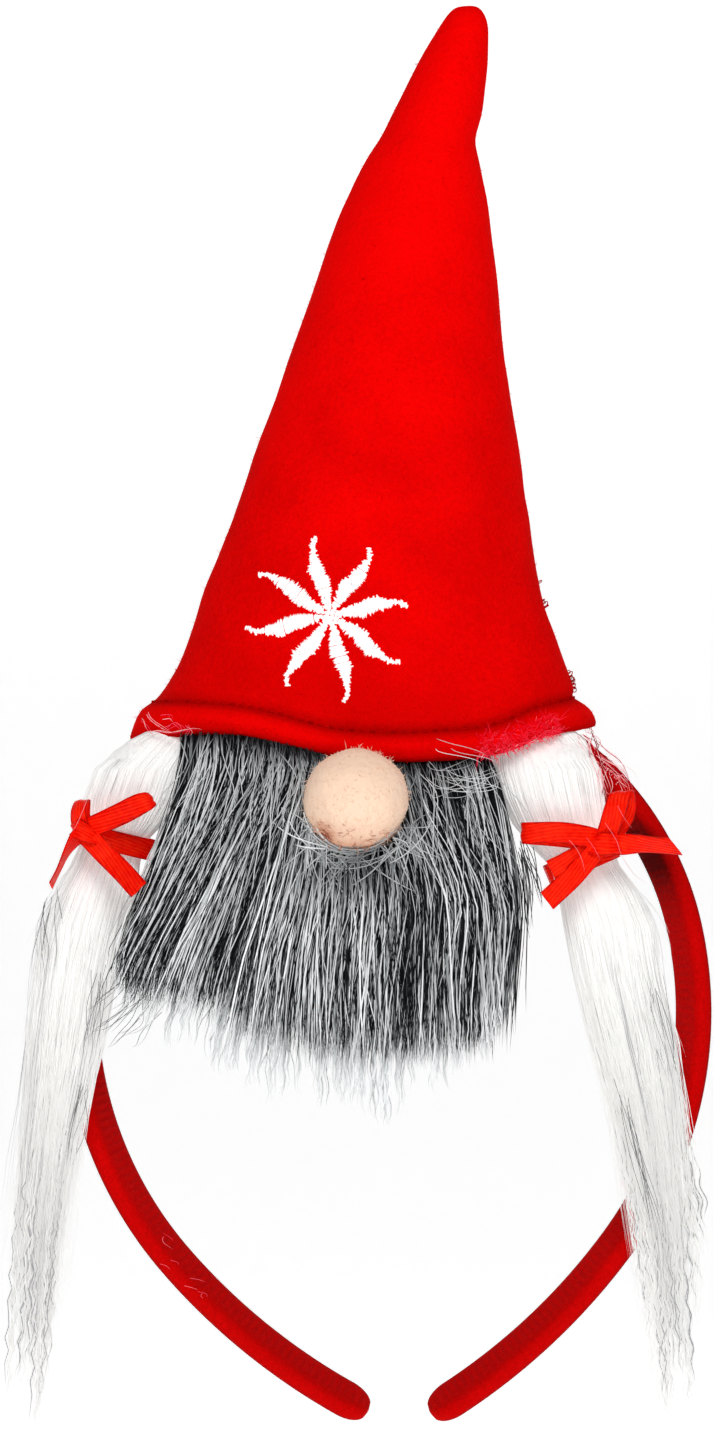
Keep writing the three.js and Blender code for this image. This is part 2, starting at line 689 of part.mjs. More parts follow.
// The turn of ribbon round the neck of a pigtail
function wrapSolid(pigtail, neck) {
  const hoop = (grow, extend) => {
    const shift = (by) => pigtailRing(pigtail, neck, grow).map((point) => point.setZ(point.z + by))
    return solid(loft([shift(-ribbonWidth / 2 - extend), shift(ribbonWidth / 2 + extend)]))
  }
  return hoop(gap + ribbonThick, 0).subtract(hoop(gap, 1))
}

function bowSolid(pigtail) {
  const neck = rowAt(pigtail.rows, 'down', pigtail.neck)
  const middle = pigtailPlace(pigtail, neck)
  const front = (neck.deep * pigtailDepth) / 2
  const [right, up] = [(pigtail.knot.x * pigtailWidth) / 2, (pigtail.knot.z * pigtailWidth) / 2]
  const centre = middle.clone().add(new THREE.Vector3(right, -front - ribbonThick, up))
  const knot = new THREE.SphereGeometry(1, 8, 6).rotateX(Math.PI / 2)
  knot.scale(knotSize / 2, knotDepth / 2, knotSize / 2).translate(centre.x, centre.y, centre.z)
  return joined([wrapSolid(pigtail, neck), solid(knot), ...pigtail.bow.map((row) => bowRibbon(row, centre))])
}

function piece(name, geometry, color, roughness) {
  const mesh = new THREE.Mesh(geometry, new THREE.MeshStandardMaterial({ color, roughness, metalness: 0 }))
  mesh.name = name
  return mesh
}

const red = 0xd9090b
const white = 0xf4f0ea

const felt = feltClearance()
const band = solid(bandGeometry(gap))
const wadding = waddingGeometry()
const beard = makeBeard(felt, solid(wadding))
const beardRoom = beardSolid(gap).add(solid(backingGeometry(gap)))
const headband = new THREE.Group()
headband.add(piece('headband', bandGeometry(), 0xb80606, 0.85))
headband.add(piece('hat', hatGeometry(), red, 0.95))
headband.add(piece('hat_wadding', wadding, white, 0.95))
headband.add(piece('snowflake', flakeGeometry(), 0xffffff, 0.5))
headband.add(piece('nose', noseGeometry(), 0xf6d3b6, 0.95))
headband.add(piece('beard', geometryOf(beard), 0x7b7d80, 0.7))
for (const pigtail of [leftPigtail, rightPigtail]) {
  const hair = mainBody(pigtailSolid(pigtail).subtract(felt).subtract(beardRoom).subtract(band))
  headband.add(piece(`pigtail_${pigtail.name}`, geometryOf(hair), white, 0.6))
  const room = pigtailSolid(pigtail, gap).add(beardRoom).add(band)
  const bow = mainBody(bowSolid(pigtail).subtract(room))
  headband.add(piece(`bow_${pigtail.name}`, geometryOf(bow), 0xf01a0c, 0.4))
}

export default headband
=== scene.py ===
# %% [markdown]
# # A gnome headband, dressed over its solids
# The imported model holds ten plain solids: a hairband, a felt cone and its wadding, a stitched snowflake, a
# wool nose, a fur beard, and two pigtails tied with ribbon bows. Each keeps its size and place here. This
# lesson makes the surface that belongs on each of them: real hairs, threads, felt and ribbon.
# %% Load the frame
import math

import bmesh
import bpy
import numpy as np
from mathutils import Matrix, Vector, noise
from mathutils.bvhtree import BVHTree


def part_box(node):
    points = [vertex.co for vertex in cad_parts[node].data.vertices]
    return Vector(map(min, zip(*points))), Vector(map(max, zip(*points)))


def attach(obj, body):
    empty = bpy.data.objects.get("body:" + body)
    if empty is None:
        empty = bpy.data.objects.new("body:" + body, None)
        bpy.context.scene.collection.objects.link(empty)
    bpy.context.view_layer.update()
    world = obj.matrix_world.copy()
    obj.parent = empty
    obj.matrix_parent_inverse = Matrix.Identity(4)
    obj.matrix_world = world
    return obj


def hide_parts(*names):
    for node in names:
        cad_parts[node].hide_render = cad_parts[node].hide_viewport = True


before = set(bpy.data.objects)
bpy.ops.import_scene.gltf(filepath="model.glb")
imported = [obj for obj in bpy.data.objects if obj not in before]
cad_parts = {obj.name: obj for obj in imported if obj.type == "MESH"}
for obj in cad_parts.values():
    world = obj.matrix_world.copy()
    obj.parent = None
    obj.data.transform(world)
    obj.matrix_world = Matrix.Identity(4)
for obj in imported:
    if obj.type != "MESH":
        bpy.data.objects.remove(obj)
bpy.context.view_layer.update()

MM = 0.001
print("solids:", sorted(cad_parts))

# %% [markdown]
# ## Where the viewer stands
# The photograph looks level and straight at the front, from far enough away that nothing is foreshortened.
# A long lens two metres off does the same. Its picture is 319.8 mm tall at the headband, which fixes the
# focal length.
# %% Camera
PICTURE_TALL = 319.8 * MM
CAMERA_PLACE = Vector((-3.9, -2000, -4.6)) * MM
SENSOR = 36

camera = bpy.data.objects.new("camera", bpy.data.cameras.new("camera"))
camera.data.sensor_width = SENSOR
camera.data.lens = SENSOR * -CAMERA_PLACE.y / PICTURE_TALL
camera.location = CAMERA_PLACE
camera.rotation_euler = (math.radians(90), 0, 0)
bpy.context.scene.collection.objects.link(camera)
bpy.context.scene.camera = camera
bpy.context.scene.view_settings.view_transform = "Standard"
print("lens:", round(camera.data.lens), "mm")

# %% [markdown]
# ## The studio
# Red felt keeps its full colour only in very even light, so most of it comes from all round. One broad lamp
# high in front then shapes the ball of the nose and the rolled hem. The floor and the wall behind are one
# bent sheet, white and a little bright by itself, so that no corner shows.
# %% World and lamp
SURROUND = 1.18
LAMP_POWER = 7.9
LAMP_SIZE = 0.6
LAMP_PLACE = (0.02, -0.85, 0.65)

world = bpy.data.worlds.new("surround")
world.use_nodes = True
world.node_tree.nodes["Background"].inputs["Strength"].default_value = SURROUND
bpy.context.scene.world = world

lamp = bpy.data.objects.new("lamp", bpy.data.lights.new("lamp", "AREA"))
lamp.data.energy = LAMP_POWER
lamp.data.size = LAMP_SIZE
lamp.location = LAMP_PLACE
lamp.rotation_euler = (-lamp.location).to_track_quat("-Z", "Y").to_euler()
bpy.context.scene.collection.objects.link(lamp)

# %% [markdown]
# ## A short way to write finishes
# A finish is a tree of nodes, and most of its nodes only do sums. This class wraps a socket, so that a sum
# is written as a sum, and its one method adds any other kind of node.
# %% Signals
class Signal:
    """A socket of a finish: sums on it add Math nodes."""

    def __init__(self, tree, socket=None):
        self.tree, self.socket = tree, socket

    def node(self, kind, settings=None, sockets=None, out=0):
        """Adds a node with its settings and its sockets' values, and gives a signal of one output."""
        made = self.tree.nodes.new("ShaderNode" + kind)
        for key, value in (settings or {}).items():
            if key == "stops":
                ramp = made.color_ramp
                while len(ramp.elements) < len(value):
                    ramp.elements.new(1)
                for element, (at, colour) in zip(ramp.elements, value):
                    element.position, element.color = at, (*colour, 1)
            else:
                setattr(made, key, value)
        for key, value in (sockets or {}).items():
            if isinstance(value, Signal):
                self.tree.links.new(value.socket, made.inputs[key])
            else:
                made.inputs[key].default_value = value
        return Signal(self.tree, made.outputs[out])

    def sum(self, operation, *terms):
        """Adds a Math node over its terms."""
        return self.node("Math", {"operation": operation}, dict(enumerate(terms)))

    def __add__(self, other):
        return self.sum("ADD", self, other)

    def __sub__(self, other):
        return self.sum("SUBTRACT", self, other)

    def __rsub__(self, other):
        return self.sum("SUBTRACT", other, self)

    def __mul__(self, other):
        return self.sum("MULTIPLY", self, other)

    __radd__, __rmul__ = __add__, __mul__


# %% [markdown]
# Every finish starts in the same way: a name, and the values that are the same all over, set on the
# shader's own sockets. What varies over the surface is linked afterwards.
# %% Finishes
def finish(name, **fixed):
    """A new material and a signal of its tree. Fixed values go on the shader, with _ for a space."""
    material = bpy.data.materials.new(name)
    material.use_nodes = True
    shader = material.node_tree.nodes["Principled BSDF"]
    for key, value in fixed.items():
        shader.inputs[key.replace("_", " ")].default_value = value
    return material, Signal(material.node_tree)


def feed(material, **linked):
    """Links signals to the sockets of a material's shader."""
    shader = material.node_tree.nodes["Principled BSDF"]
    for key, value in linked.items():
        material.node_tree.links.new(value.socket, shader.inputs[key.replace("_", " ")])


def grain(start, scale, detail=3, stretch=(1, 1, 1)):
    """Soft noise from 0 to 1 over the object, as so many grains to the millimetre."""
    place = start.node("TexCoord", out=3)
    if stretch != (1, 1, 1):
        place = start.node("Mapping", {}, {"Vector": place, "Scale": stretch})
    return start.node("TexNoise", {}, {"Vector": place, "Scale": scale / MM, "Detail": detail})


def ramp(start, at, stops):
    """Colours along a signal, from stops of a place from 0 to 1 and a colour."""
    return start.node("ValToRGB", {"stops": stops}, {0: at})


def raised(start, height, depth, strength=1.0):
    """A surface direction from a height signal, with the depth in millimetres."""
    return start.node("Bump", {}, {"Height": height, "Distance": depth * MM, "Strength": strength})


def tone_of(start, name="tone"):
    """The number that a mesh keeps for each of its points."""
    return start.node("Attribute", {"attribute_name": name}, out=2)


# %% [markdown]
# The white sheet of the studio is the first user of a finish. It is no part of the headband. Its back lets
# the view through, so that the headband shows from behind and from below too.
# %% Floor and wall
FLOOR, FLOOR_NEAR = -240, -3500
WALL_AWAY, WALL_TOP = 1500, 3000
BEND, BEND_STEPS = 500, 12
HALF_WIDE = 3500
PAPER_GLOW = 0.565


def studio_sheet():
    """Points and quads of a floor that bends up into a wall."""
    turns = np.linspace(0, math.pi / 2, BEND_STEPS)
    bend = [(WALL_AWAY - BEND + BEND * math.sin(t), FLOOR + BEND - BEND * math.cos(t)) for t in turns]
    side = np.array([(FLOOR_NEAR, FLOOR), *bend, (WALL_AWAY, WALL_TOP)])
    points = np.array([(x, y, z) for y, z in side for x in (-HALF_WIDE, HALF_WIDE)])
    first = np.arange(len(side) - 1)[:, None] * 2
    return points, first + np.array([0, 1, 3, 2])


paper, start = finish("studio_paper", Base_Color=(0.97, 0.97, 0.97, 1), Roughness=1.0,
                      Emission_Strength=PAPER_GLOW)
feed(paper, Emission_Color=ramp(start, grain(start, 0.01), [(0, (0.98, 0.98, 0.98)), (1, (1, 1, 1))]),
     Alpha=1 - start.node("NewGeometry", out="Backfacing"))

# %% [markdown]
# ## Meshes from arrays
# Thousands of hairs are quickest as plain arrays of points and faces. One helper turns such arrays into an
# object, one hangs it on the headband's one body and hides the solids it stands for, and one closes two
# grids of points into a thin sheet.
# %% Mesh helpers
def mesh_object(name, points, faces, material):
    """An object from points in millimetres and faces that all have as many corners."""
    faces = np.asarray(faces, np.int32)
    mesh = bpy.data.meshes.new(name)
    mesh.vertices.add(len(points))
    mesh.vertices.foreach_set("co", (np.asarray(points) * MM).astype(np.float32).ravel())
    mesh.loops.add(faces.size)
    mesh.loops.foreach_set("vertex_index", faces.ravel())
    mesh.polygons.add(len(faces))
    starts = np.arange(len(faces), dtype=np.int32) * faces.shape[1]
    mesh.polygons.foreach_set("loop_start", starts)
    mesh.update(calc_edges=True)
    mesh.shade_smooth()
    mesh.materials.append(material)
    made = bpy.data.objects.new(name, mesh)
    bpy.context.scene.collection.objects.link(made)
    return made


def piece(name, points, faces, material, replaced=()):
    """A part of the headband: it rides on the body and may stand for some of the solids."""
    made = mesh_object(name, points, faces, material)
    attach(made, "root")
    if replaced:
        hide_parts(*replaced)
    triangles = len(faces) * (np.asarray(faces).shape[1] - 2)
    low, high = np.min(points, 0).round(1), np.max(points, 0).round(1)
    print(f"{name}: {triangles} triangles, from {low} to {high} mm")
    return made


def mark(made, name, values):
    """Keeps one number for each point of a mesh, which its finish can read."""
    attribute = made.data.attributes.new(name, "FLOAT", "POINT")
    attribute.data.foreach_set("value", np.asarray(values, np.float32).ravel())


def closed_sheet(front, back):
    """Points and quads of a thin closed sheet between two grids of points."""
    total = front.shape[0] * front.shape[1]
    number = np.arange(total).reshape(front.shape[:2])
    quads = np.stack([number[:-1, :-1], number[1:, :-1], number[1:, 1:], number[:-1, 1:]], -1).reshape(-1, 4)
    rim = np.concatenate([number[0, :-1], number[:-1, -1], number[-1, :0:-1], number[:0:-1, 0]])
    edge = np.stack([rim, np.roll(rim, -1), np.roll(rim, -1) + total, rim + total], -1)
    points = np.concatenate([front.reshape(-1, 3), back.reshape(-1, 3)])
    return points, np.concatenate([quads, quads[:, ::-1] + total, edge])


sheet = mesh_object("studio_sheet", *studio_sheet(), paper)

# %% [markdown]
# ## Reading the solids
# A surface that grows from a solid keeps its place exactly. One helper welds a solid's triangles into quads
# and smooths them, and another measures how wide and deep a solid is at given heights.
# %% Solid helpers
WELD = 0.01
FLAT_TURN = math.radians(60)


def read(items, name, across, kind=np.float32):
    """One property of all the items of a mesh as an array, so many numbers across."""
    values = np.empty(len(items) * across, kind)
    items.foreach_get(name, values)
    return values.reshape(-1, across) if across > 1 else values


def refined(node, levels):
    """Points in millimetres, outward directions and quads of a solid, smoothed."""
    shape = bmesh.new()
    shape.from_mesh(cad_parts[node].data)
    bmesh.ops.remove_doubles(shape, verts=shape.verts, dist=WELD * MM)
    bmesh.ops.join_triangles(shape, faces=shape.faces, angle_face_threshold=FLAT_TURN,
                             angle_shape_threshold=math.pi)
    mesh = bpy.data.meshes.new("welded")
    shape.to_mesh(mesh)
    shape.free()
    holder = bpy.data.objects.new("welded", mesh)
    bpy.context.scene.collection.objects.link(holder)
    smooth = holder.modifiers.new("smooth", "SUBSURF")
    smooth.levels = levels
    graph = bpy.context.evaluated_depsgraph_get()
    even = bpy.data.meshes.new_from_object(holder.evaluated_get(graph))
    points = read(even.vertices, "co", 3) / MM
    outward = read(even.vertices, "normal", 3)
    faces = read(even.loops, "vertex_index", 1, np.int32).reshape(-1, 4)
    bpy.data.objects.remove(holder)
    return points, outward, faces


def sections(node, heights):
    """The lowest x and y and the highest x and y, in millimetres, where level cuts meet a solid."""
    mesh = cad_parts[node].data
    points = read(mesh.vertices, "co", 3) / MM
    pairs = points[read(mesh.edges, "vertices", 2, np.int32)]
    rows = []
    for height in heights:
        above = pairs[:, :, 2] > height
        cut = pairs[above[:, 0] != above[:, 1]]
        share = (height - cut[:, 0, 2]) / (cut[:, 1, 2] - cut[:, 0, 2])
        place = (cut[:, 0] + (cut[:, 1] - cut[:, 0]) * share[:, None])[:, :2]
        rows.append(np.r_[place.min(0), place.max(0)])
    return np.array(rows)


def box_of(node):
    """The lowest and highest corner of a solid, in millimetres."""
    low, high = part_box(node)
    return np.array(low) / MM, np.array(high) / MM


# %% [markdown]
# ## Strands
# Nap, fur, hair, stitches and stray fibres are all the same thing: a thin thread along a line. Each is a
# closed tube of three or more sides that ends in a point, because a flat ribbon of no thickness has no
# place in a solid model. All the strands of a piece are made at once, and each keeps a number for its tone.
# %% Strand helpers
def unit(vectors):
    """The same directions with a length of 1."""
    return vectors / np.maximum(np.linalg.norm(vectors, axis=-1, keepdims=True), 1e-9)


def ease(values, low, high):
    """0 below low, 1 above high and a smooth step between."""
    share = np.clip((np.asarray(values) - low) / (high - low), 0, 1)
    return share * share * (3 - 2 * share)


def strands(lines, thick, chance, sides=3):
    """Points and faces of tubes along lines (strand, step, xyz) with half widths (strand, step)."""
    count, steps, _ = lines.shape
    along = unit(np.gradient(lines, axis=1))
    side = unit(np.cross(along, unit(chance.normal(size=(count, 1, 3)))))
    over = np.cross(along, side)
    turns = np.arange(sides) * 2 * math.pi / sides
    ring = side[:, :-1, None] * np.cos(turns)[:, None] + over[:, :-1, None] * np.sin(turns)[:, None]
    ring = lines[:, :-1, None] + ring * thick[:, :-1, None, None]
    points = np.concatenate([ring.reshape(count, -1, 3), lines[:, -1:]], axis=1)
    at, after = np.arange(sides), (np.arange(sides) + 1) % sides
    step = (np.arange(steps - 2) * sides)[:, None]
    first = np.stack([at + step, after + step, after + step + sides], -1).reshape(-1, 3)
    second = np.stack([at + step, after + step + sides, at + step + sides], -1).reshape(-1, 3)
    last = (steps - 2) * sides
    tip = np.stack([at + last, after + last, np.full(sides, last + sides)], -1)
    root = np.stack([np.zeros(sides - 2, int), at[2:], at[1:-1]], -1)
    faces = np.concatenate([first, second, tip, root])
    offsets = np.arange(count)[:, None, None] * (last + sides + 1)
    return points.reshape(-1, 3), (faces[None] + offsets).reshape(-1, 3)


def strand_piece(name, lines, thick, tone, material, chance, replaced=(), sides=3):
    """A piece of many strands. tone is one number for each step of each strand."""
    points, faces = strands(lines, thick, chance, sides)
    made = piece(name, points, faces, material, replaced)
    tones = np.concatenate([np.repeat(tone[:, :-1], sides, axis=1), tone[:, -1:]], axis=1)
    mark(made, "tone", tones)
    return made


def taper(count, steps, thick, tip=0.15, chance=None, even=0.6):
    """Half widths that stay even along a strand and thin out after this share of it."""
    along = np.linspace(0, 1, steps)
    profile = 1 - (1 - tip) * ease(along, even, 1)
    each = thick * (chance.uniform(0.75, 1.25, (count, 1)) if chance else np.ones((count, 1)))
    return each * profile


def one_tone(lines, tones, chance):
    """Tones that stay even along a strand, one between two tones for each strand."""
    return np.repeat(chance.uniform(*tones, (len(lines), 1)), lines.shape[1], axis=1)


def scattered(points, faces, count, chance):
    """Random places on a surface, with the direction out of it."""
    corners = points[faces[:, :3]]
    out = np.cross(corners[:, 1] - corners[:, 0], corners[:, 2] - corners[:, 0])
    area = np.linalg.norm(out, axis=1)
    chosen = chance.choice(len(faces), count, p=area / area.sum())
    weight = chance.dirichlet((1, 1, 1), count)
    return (corners[chosen] * weight[:, :, None]).sum(1), unit(out[chosen])


def nap(places, outward, length, lean, bend, steps, chance):
    """Short fibres that stand on a surface, lean and bend at random."""
    count = len(places)
    heading = unit(outward + lean * chance.normal(size=(count, 3)))
    curl = bend * chance.normal(size=(count, 3))
    along = np.linspace(0, 1, steps)[None, :, None]
    reach = (length * chance.uniform(0.4, 1.3, count))[:, None, None]
    root = places[:, None] - outward[:, None] * 0.15
    return root + reach * (along * heading[:, None] + along**2 * curl[:, None])


# %% [markdown]
# ## The felt hat
# Brushed felt is a mat of short wool: no threads show, the colour is cloudy, and a fine nap catches the
# light at its edge. The colour drifts between a deep and a light red, and painted light makes it lighter
# towards the top of the cone. Painted shade darkens the stitched groove and the underside of the rolled
# hem, and a painted highlight lies along the middle of the roll. A coarse and a fine noise raise the
# surface a little, and a tinted sheen stands for the nap where it is too fine to model.
# %% Felt finish
FELT_TIP = (1, 0.02, 0.01)
FELT_LIGHT = (0.94, 0.0008, 0.0006)
FELT_WARM = (0.89, 0.0006, 0.0005)
FELT_DEEP = (0.73, 0.0004, 0.0004)
FELT_SHADOWED = (0.42, 0.0002, 0.0002)
RISE_SPAN = 12
# Painted light and shade of the hem, by rise above its edge: shade under the roll, a highlight along its
# middle, and the darkest shade in the stitched groove.
HEM_LIGHT_AND_SHADE = [(0, (0.15,) * 3), (0.12, (0.7,) * 3), (0.3, (1,) * 3), (0.42, (0.8,) * 3), (0.52, (0,) * 3),
           (0.6, (0.45,) * 3), (0.75, (0.7,) * 3)]

felt, start = finish("red_felt", Roughness=0.95, Specular_IOR_Level=0.01, Sheen_Weight=0.06,
                     Sheen_Roughness=0.6, Sheen_Tint=(1, 0.02, 0.01, 1))
clouds = grain(start, 0.05, 3)
fluff = grain(start, 1.1, 5)
# Painted light: height makes the felt lighter towards the top of the cone.
height = start.node("SeparateXYZ", {}, {0: start.node("TexCoord", out=3)}, out=2)
hem_light_and_shade = ramp(start, tone_of(start, "rise") * (1 / RISE_SPAN) + (clouds - 0.5) * 0.05, HEM_LIGHT_AND_SHADE)
shade = clouds * 0.3 + fluff * 0.2 + height + hem_light_and_shade * 0.5
felt_shade = ramp(start, shade, [(0.25, FELT_SHADOWED), (0.6, FELT_DEEP), (0.7, FELT_WARM), (0.8, FELT_LIGHT)])
feed(felt, Base_Color=felt_shade, Normal=raised(start, fluff + grain(start, 0.35, 2) * 1.5, 0.22))

felt_nap, start = finish("felt_nap", Roughness=0.95, Specular_IOR_Level=0.01)
feed(felt_nap, Base_Color=ramp(start, tone_of(start), [(0, FELT_DEEP), (0.8, FELT_LIGHT), (1, FELT_TIP)]))

# %% [markdown]
# The cone is sewn from one piece, so a seam runs down its right side, and stuffing pushes soft lumps into
# it. The hem is turned up and its stitching draws in a groove. The groove is in the solid already, and the
# lumps and the seam are moved into the smoothed surface here.
# %% Hat
HAT_GROW = 0.35
HAT_LUMP = 0.7
SEAM_TURN = 96
SEAM_DEEP = 0.7
SEAM_WIDE = 1.1
HAT_CUTS = 40

HEM_STEP = 11.25
HEM_SEARCH = 9
HEM_SOFTEN = 12
HEM_PUFF, HEM_PUFF_LEFT, HEM_DROP_LEFT = 1.1, 1.2, 2.2
STITCH_RISE = 6.4
GROOVE_DEEP, GROOVE_WIDE = 0.8, 1.1

hat_low, hat_high = box_of("hat")
HEM_MIDDLE = (hat_low[0] + hat_high[0]) / 2
HEM_HALF, HEM_DEEP = (hat_high[:2] - hat_low[:2]) / 2


def hem_turn(points):
    """The turn of points round the hem's oval, in degrees to the right of its front."""
    return np.degrees(np.arctan2((points[..., 0] - HEM_MIDDLE) / HEM_HALF, -points[..., 1] / HEM_DEEP))


hem_turns = np.arange(-180, 181, HEM_STEP)
corners = read(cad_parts["hat"].data.vertices, "co", 3) / MM
corners = corners[corners[:, 2] < hat_low[2] + HEM_SEARCH]
off = np.abs((hem_turn(corners) - hem_turns[:, None] + 180) % 360 - 180)
hem_heights = np.array([corners[row < HEM_STEP / 2, 2].min() for row in off])
every_turn = np.arange(-180, 180)
levels = np.interp(every_turn, hem_turns, hem_heights)
window = np.hanning(2 * HEM_SOFTEN + 1)
levels_round = np.r_[levels[-HEM_SOFTEN:], levels, levels[:HEM_SOFTEN]]
hem_levels = np.convolve(levels_round, window / window.sum(), "valid")


def hem_height(turn):
    """The height of the hem's lower edge at a turn in degrees."""
    return np.interp(turn, every_turn, hem_levels, period=360)


hat_points, hat_out, hat_faces = refined("hat", 2)
hat_levels = np.linspace(hat_low[2] + 10, hat_high[2] - 0.5, HAT_CUTS)
hat_rows = sections("hat", hat_levels)


def hat_oval(height):
    """The middle x, half width and half depth of the hat at some heights."""
    at = [np.interp(height, hat_levels, hat_rows[:, i]) for i in range(4)]
    return (at[0] + at[2]) / 2, (at[2] - at[0]) / 2, (at[3] - at[1]) / 2


def hat_turn(points):
    """The turn of points round the hat, in degrees to the right of its front."""
    middle, half, deep = hat_oval(points[:, 2])
    return np.degrees(np.arctan2((points[:, 0] - middle) / half, -points[:, 1] / deep))


def lumps(points, size, seed=0):
    """Soft noise from -1 to 1 at points, with lumps of about this size in millimetres."""
    shift = Vector((seed * 7.3, seed * 3.1, seed * 5.7))
    return np.array([noise.noise(Vector(p) / size + shift) for p in points])


middle, half, deep = hat_oval(hat_points[:, 2])
off_seam = np.radians((hat_turn(hat_points) - SEAM_TURN + 180) % 360 - 180) * deep
seam = SEAM_DEEP * np.exp(-((off_seam / SEAM_WIDE) ** 2)) * ease(hat_points[:, 2], 4, 10)
swell = HAT_LUMP * (lumps(hat_points, 22) + 0.35 * lumps(hat_points, 8, 1))
hat_points = hat_points + hat_out * (HAT_GROW + swell - seam)[:, None]


def rolled_hem(points, outward):
    """How far each point of the turned-up hem puffs out and hangs down, in millimetres."""
    turn = hem_turn(points)
    rise = points[:, 2] - hem_height(turn)
    facing = unit(np.stack([points[:, 0] - HEM_MIDDLE, points[:, 1], 0 * rise], -1))
    outer = ease((outward * facing).sum(1), -0.3, 0.4)
    left = ease(-np.sin(np.radians(turn)), 0.64, 0.97)
    soft = ease(-np.sin(np.radians(turn)), 0.3, 0.9)
    puff = (HEM_PUFF + HEM_PUFF_LEFT * left) * outer * (1 - ease(rise, 3, STITCH_RISE + 4 * left))
    drop = HEM_DROP_LEFT * left * (1 - ease(rise, 1, 5))
    groove = GROOVE_DEEP * (1 - 0.85 * soft) * outer * np.exp(-(((rise - STITCH_RISE) / GROOVE_WIDE) ** 2))
    return facing * (puff - groove)[:, None] - np.stack([0 * drop, 0 * drop, drop], -1)


rise = hat_points[:, 2] - hem_height(hem_turn(hat_points))
hat_points = hat_points + rolled_hem(hat_points, hat_out)
hat = piece("hat_felt", hat_points, hat_faces, felt, ["hat"])
# The finish paints the hem's shade and highlight from this rise.
mark(hat, "rise", rise)
hat_tree = BVHTree.FromPolygons(hat_points.tolist(), hat_faces.tolist())

# %% [markdown]
# Stitches and stray hairs have to lie on the hat. A ray shot inwards finds the felt at any turn and height
# above the hem.
# %% Places on the hat
def on_hat(turn, rise):
    """The place on the felt at a turn and a height above the hem, and the direction out of it."""
    height = hem_height(turn) + rise
    middle, half, deep = (float(v) for v in hat_oval(height))
    way = Vector((half * math.sin(math.radians(turn)), -deep * math.cos(math.radians(turn)), 0))
    place, out, _, _ = hat_tree.ray_cast(Vector((middle, 0, height)) + way * 2, -way.normalized())
    return np.array(place), np.array(out)


HEM_INSIDE = 0.9


def under_hem(points):
    """Draws hair in under the hem where it rises past the hem's lower edge."""
    lift = ease(points[..., 2] - hem_height(hem_turn(points)), -3, 0.5)
    off = points[..., :2] - [HEM_MIDDLE, 0]
    reach = np.linalg.norm(off / [HEM_HALF, HEM_DEEP], axis=-1)
    size = 1 + lift * (np.minimum(HEM_INSIDE / np.maximum(reach, 0.1), 1) - 1)
    drawn = np.array(points)
    drawn[..., :2] = [HEM_MIDDLE, 0] + off * size[..., None]
    return drawn


# %% [markdown]
# The hem's stitches are short red threads that sink into the groove, one every 2.3 mm. They sit deep, and
# their thread is a darker red than the felt, partly its own colour and partly painted shade in the stitch
# holes. On the right, where the seam comes down, a few loops of its thread stand out from the felt.
# %% Hem stitches
STITCH_PITCH = 2.3
STITCH_LONG, STITCH_STEPS = 1.5, 6
STITCH_SINK, STITCH_ARCH = 0.25, 0.35
TURN_STEP = 0.25
THREAD_THICK = 0.28

# Both reds are darker than the felt: partly the thread's own colour, partly painted shade of the stitch
# holes.
THREAD_DARK, THREAD_LIGHT = (0.34, 0.0004, 0.0004), (0.55, 0.0006, 0.0006)

hem_thread, start = finish("hem_thread", Roughness=0.9, Specular_IOR_Level=0.0)
feed(hem_thread, Base_Color=ramp(start, tone_of(start), [(0, THREAD_DARK), (1, THREAD_LIGHT)]))


def hem_stitches():
    """Short threads round the hem that dip into its groove at both ends."""
    turns = np.arange(-180, 180, TURN_STEP)
    line = np.array([on_hat(turn, STITCH_RISE)[0] for turn in turns])
    run = np.r_[0, np.cumsum(np.linalg.norm(np.diff(line, axis=0), axis=1))]
    starts = np.arange(0, run[-1] - STITCH_PITCH, STITCH_PITCH)
    steps = np.linspace(0, 1, STITCH_STEPS)
    at = np.interp(starts[:, None] + steps * STITCH_LONG, run, turns)
    sink = STITCH_SINK - STITCH_ARCH * np.sin(steps * math.pi)
    lines = []
    for row in at:
        spots = [on_hat(turn, STITCH_RISE) for turn in row]
        lines.append([place - out * depth for (place, out), depth in zip(spots, sink)])
    return np.array(lines)


chance = np.random.default_rng(3)
lines = hem_stitches()
tone = one_tone(lines, (0, 1), chance)
thick = np.full(lines.shape[:2], THREAD_THICK)
strand_piece("hem_stitches", lines, thick, tone, hem_thread, chance, sides=5)

SEAM_RISES = [8, 8.5, 9, 9.4, 9.8, 10.2, 10.6, 11, 11.5, 12, 26.5, 27, 27.5, 28, 32]
LOOP_SIZE, LOOP_STEPS = 0.55, 9
LOOP_TURN, LOOP_TURN_SPREAD = 88, 2


def seam_loops():
    """Small loops of thread that stand out of the felt along the seam above the hem."""
    places = [on_hat(chance.normal(LOOP_TURN, LOOP_TURN_SPREAD), rise) for rise in SEAM_RISES]
    round_once = np.linspace(0, 2 * math.pi, LOOP_STEPS)
    lines = []
    for place, out in places:
        up = unit(np.array([0, 0, 1]) + chance.normal(0, 0.5, 3))
        size = LOOP_SIZE * chance.uniform(0.6, 1.2)
        ring = out * (0.5 - np.cos(round_once) * 0.8)[:, None] + up * np.sin(round_once)[:, None]
        lines.append(place + size * ring)
    return np.array(lines)


lines = seam_loops()
tone = one_tone(lines, (0, 1), chance)
thick = np.full(lines.shape[:2], THREAD_THICK / 2)
strand_piece("seam_threads", lines, thick, tone, hem_thread, chance)

# %% [markdown]
# The nap itself: short wool fibres all over the felt. From two metres away they only soften the outline and
# break up the flat colour, so a few thousand are enough.
# %% Felt nap
NAP_COUNT = 4500
NAP_STEPS = 3
NAP_LONG = 1.1
NAP_THICK = 0.05

chance = np.random.default_rng(4)
places, outward = scattered(hat_points, hat_faces, NAP_COUNT, chance)
lines = nap(places, outward, NAP_LONG, 0.9, 0.35, NAP_STEPS, chance)
tone = one_tone(lines, (0, 1), chance)
strand_piece("hat_nap", lines, taper(NAP_COUNT, NAP_STEPS, NAP_THICK), tone, felt_nap, chance)

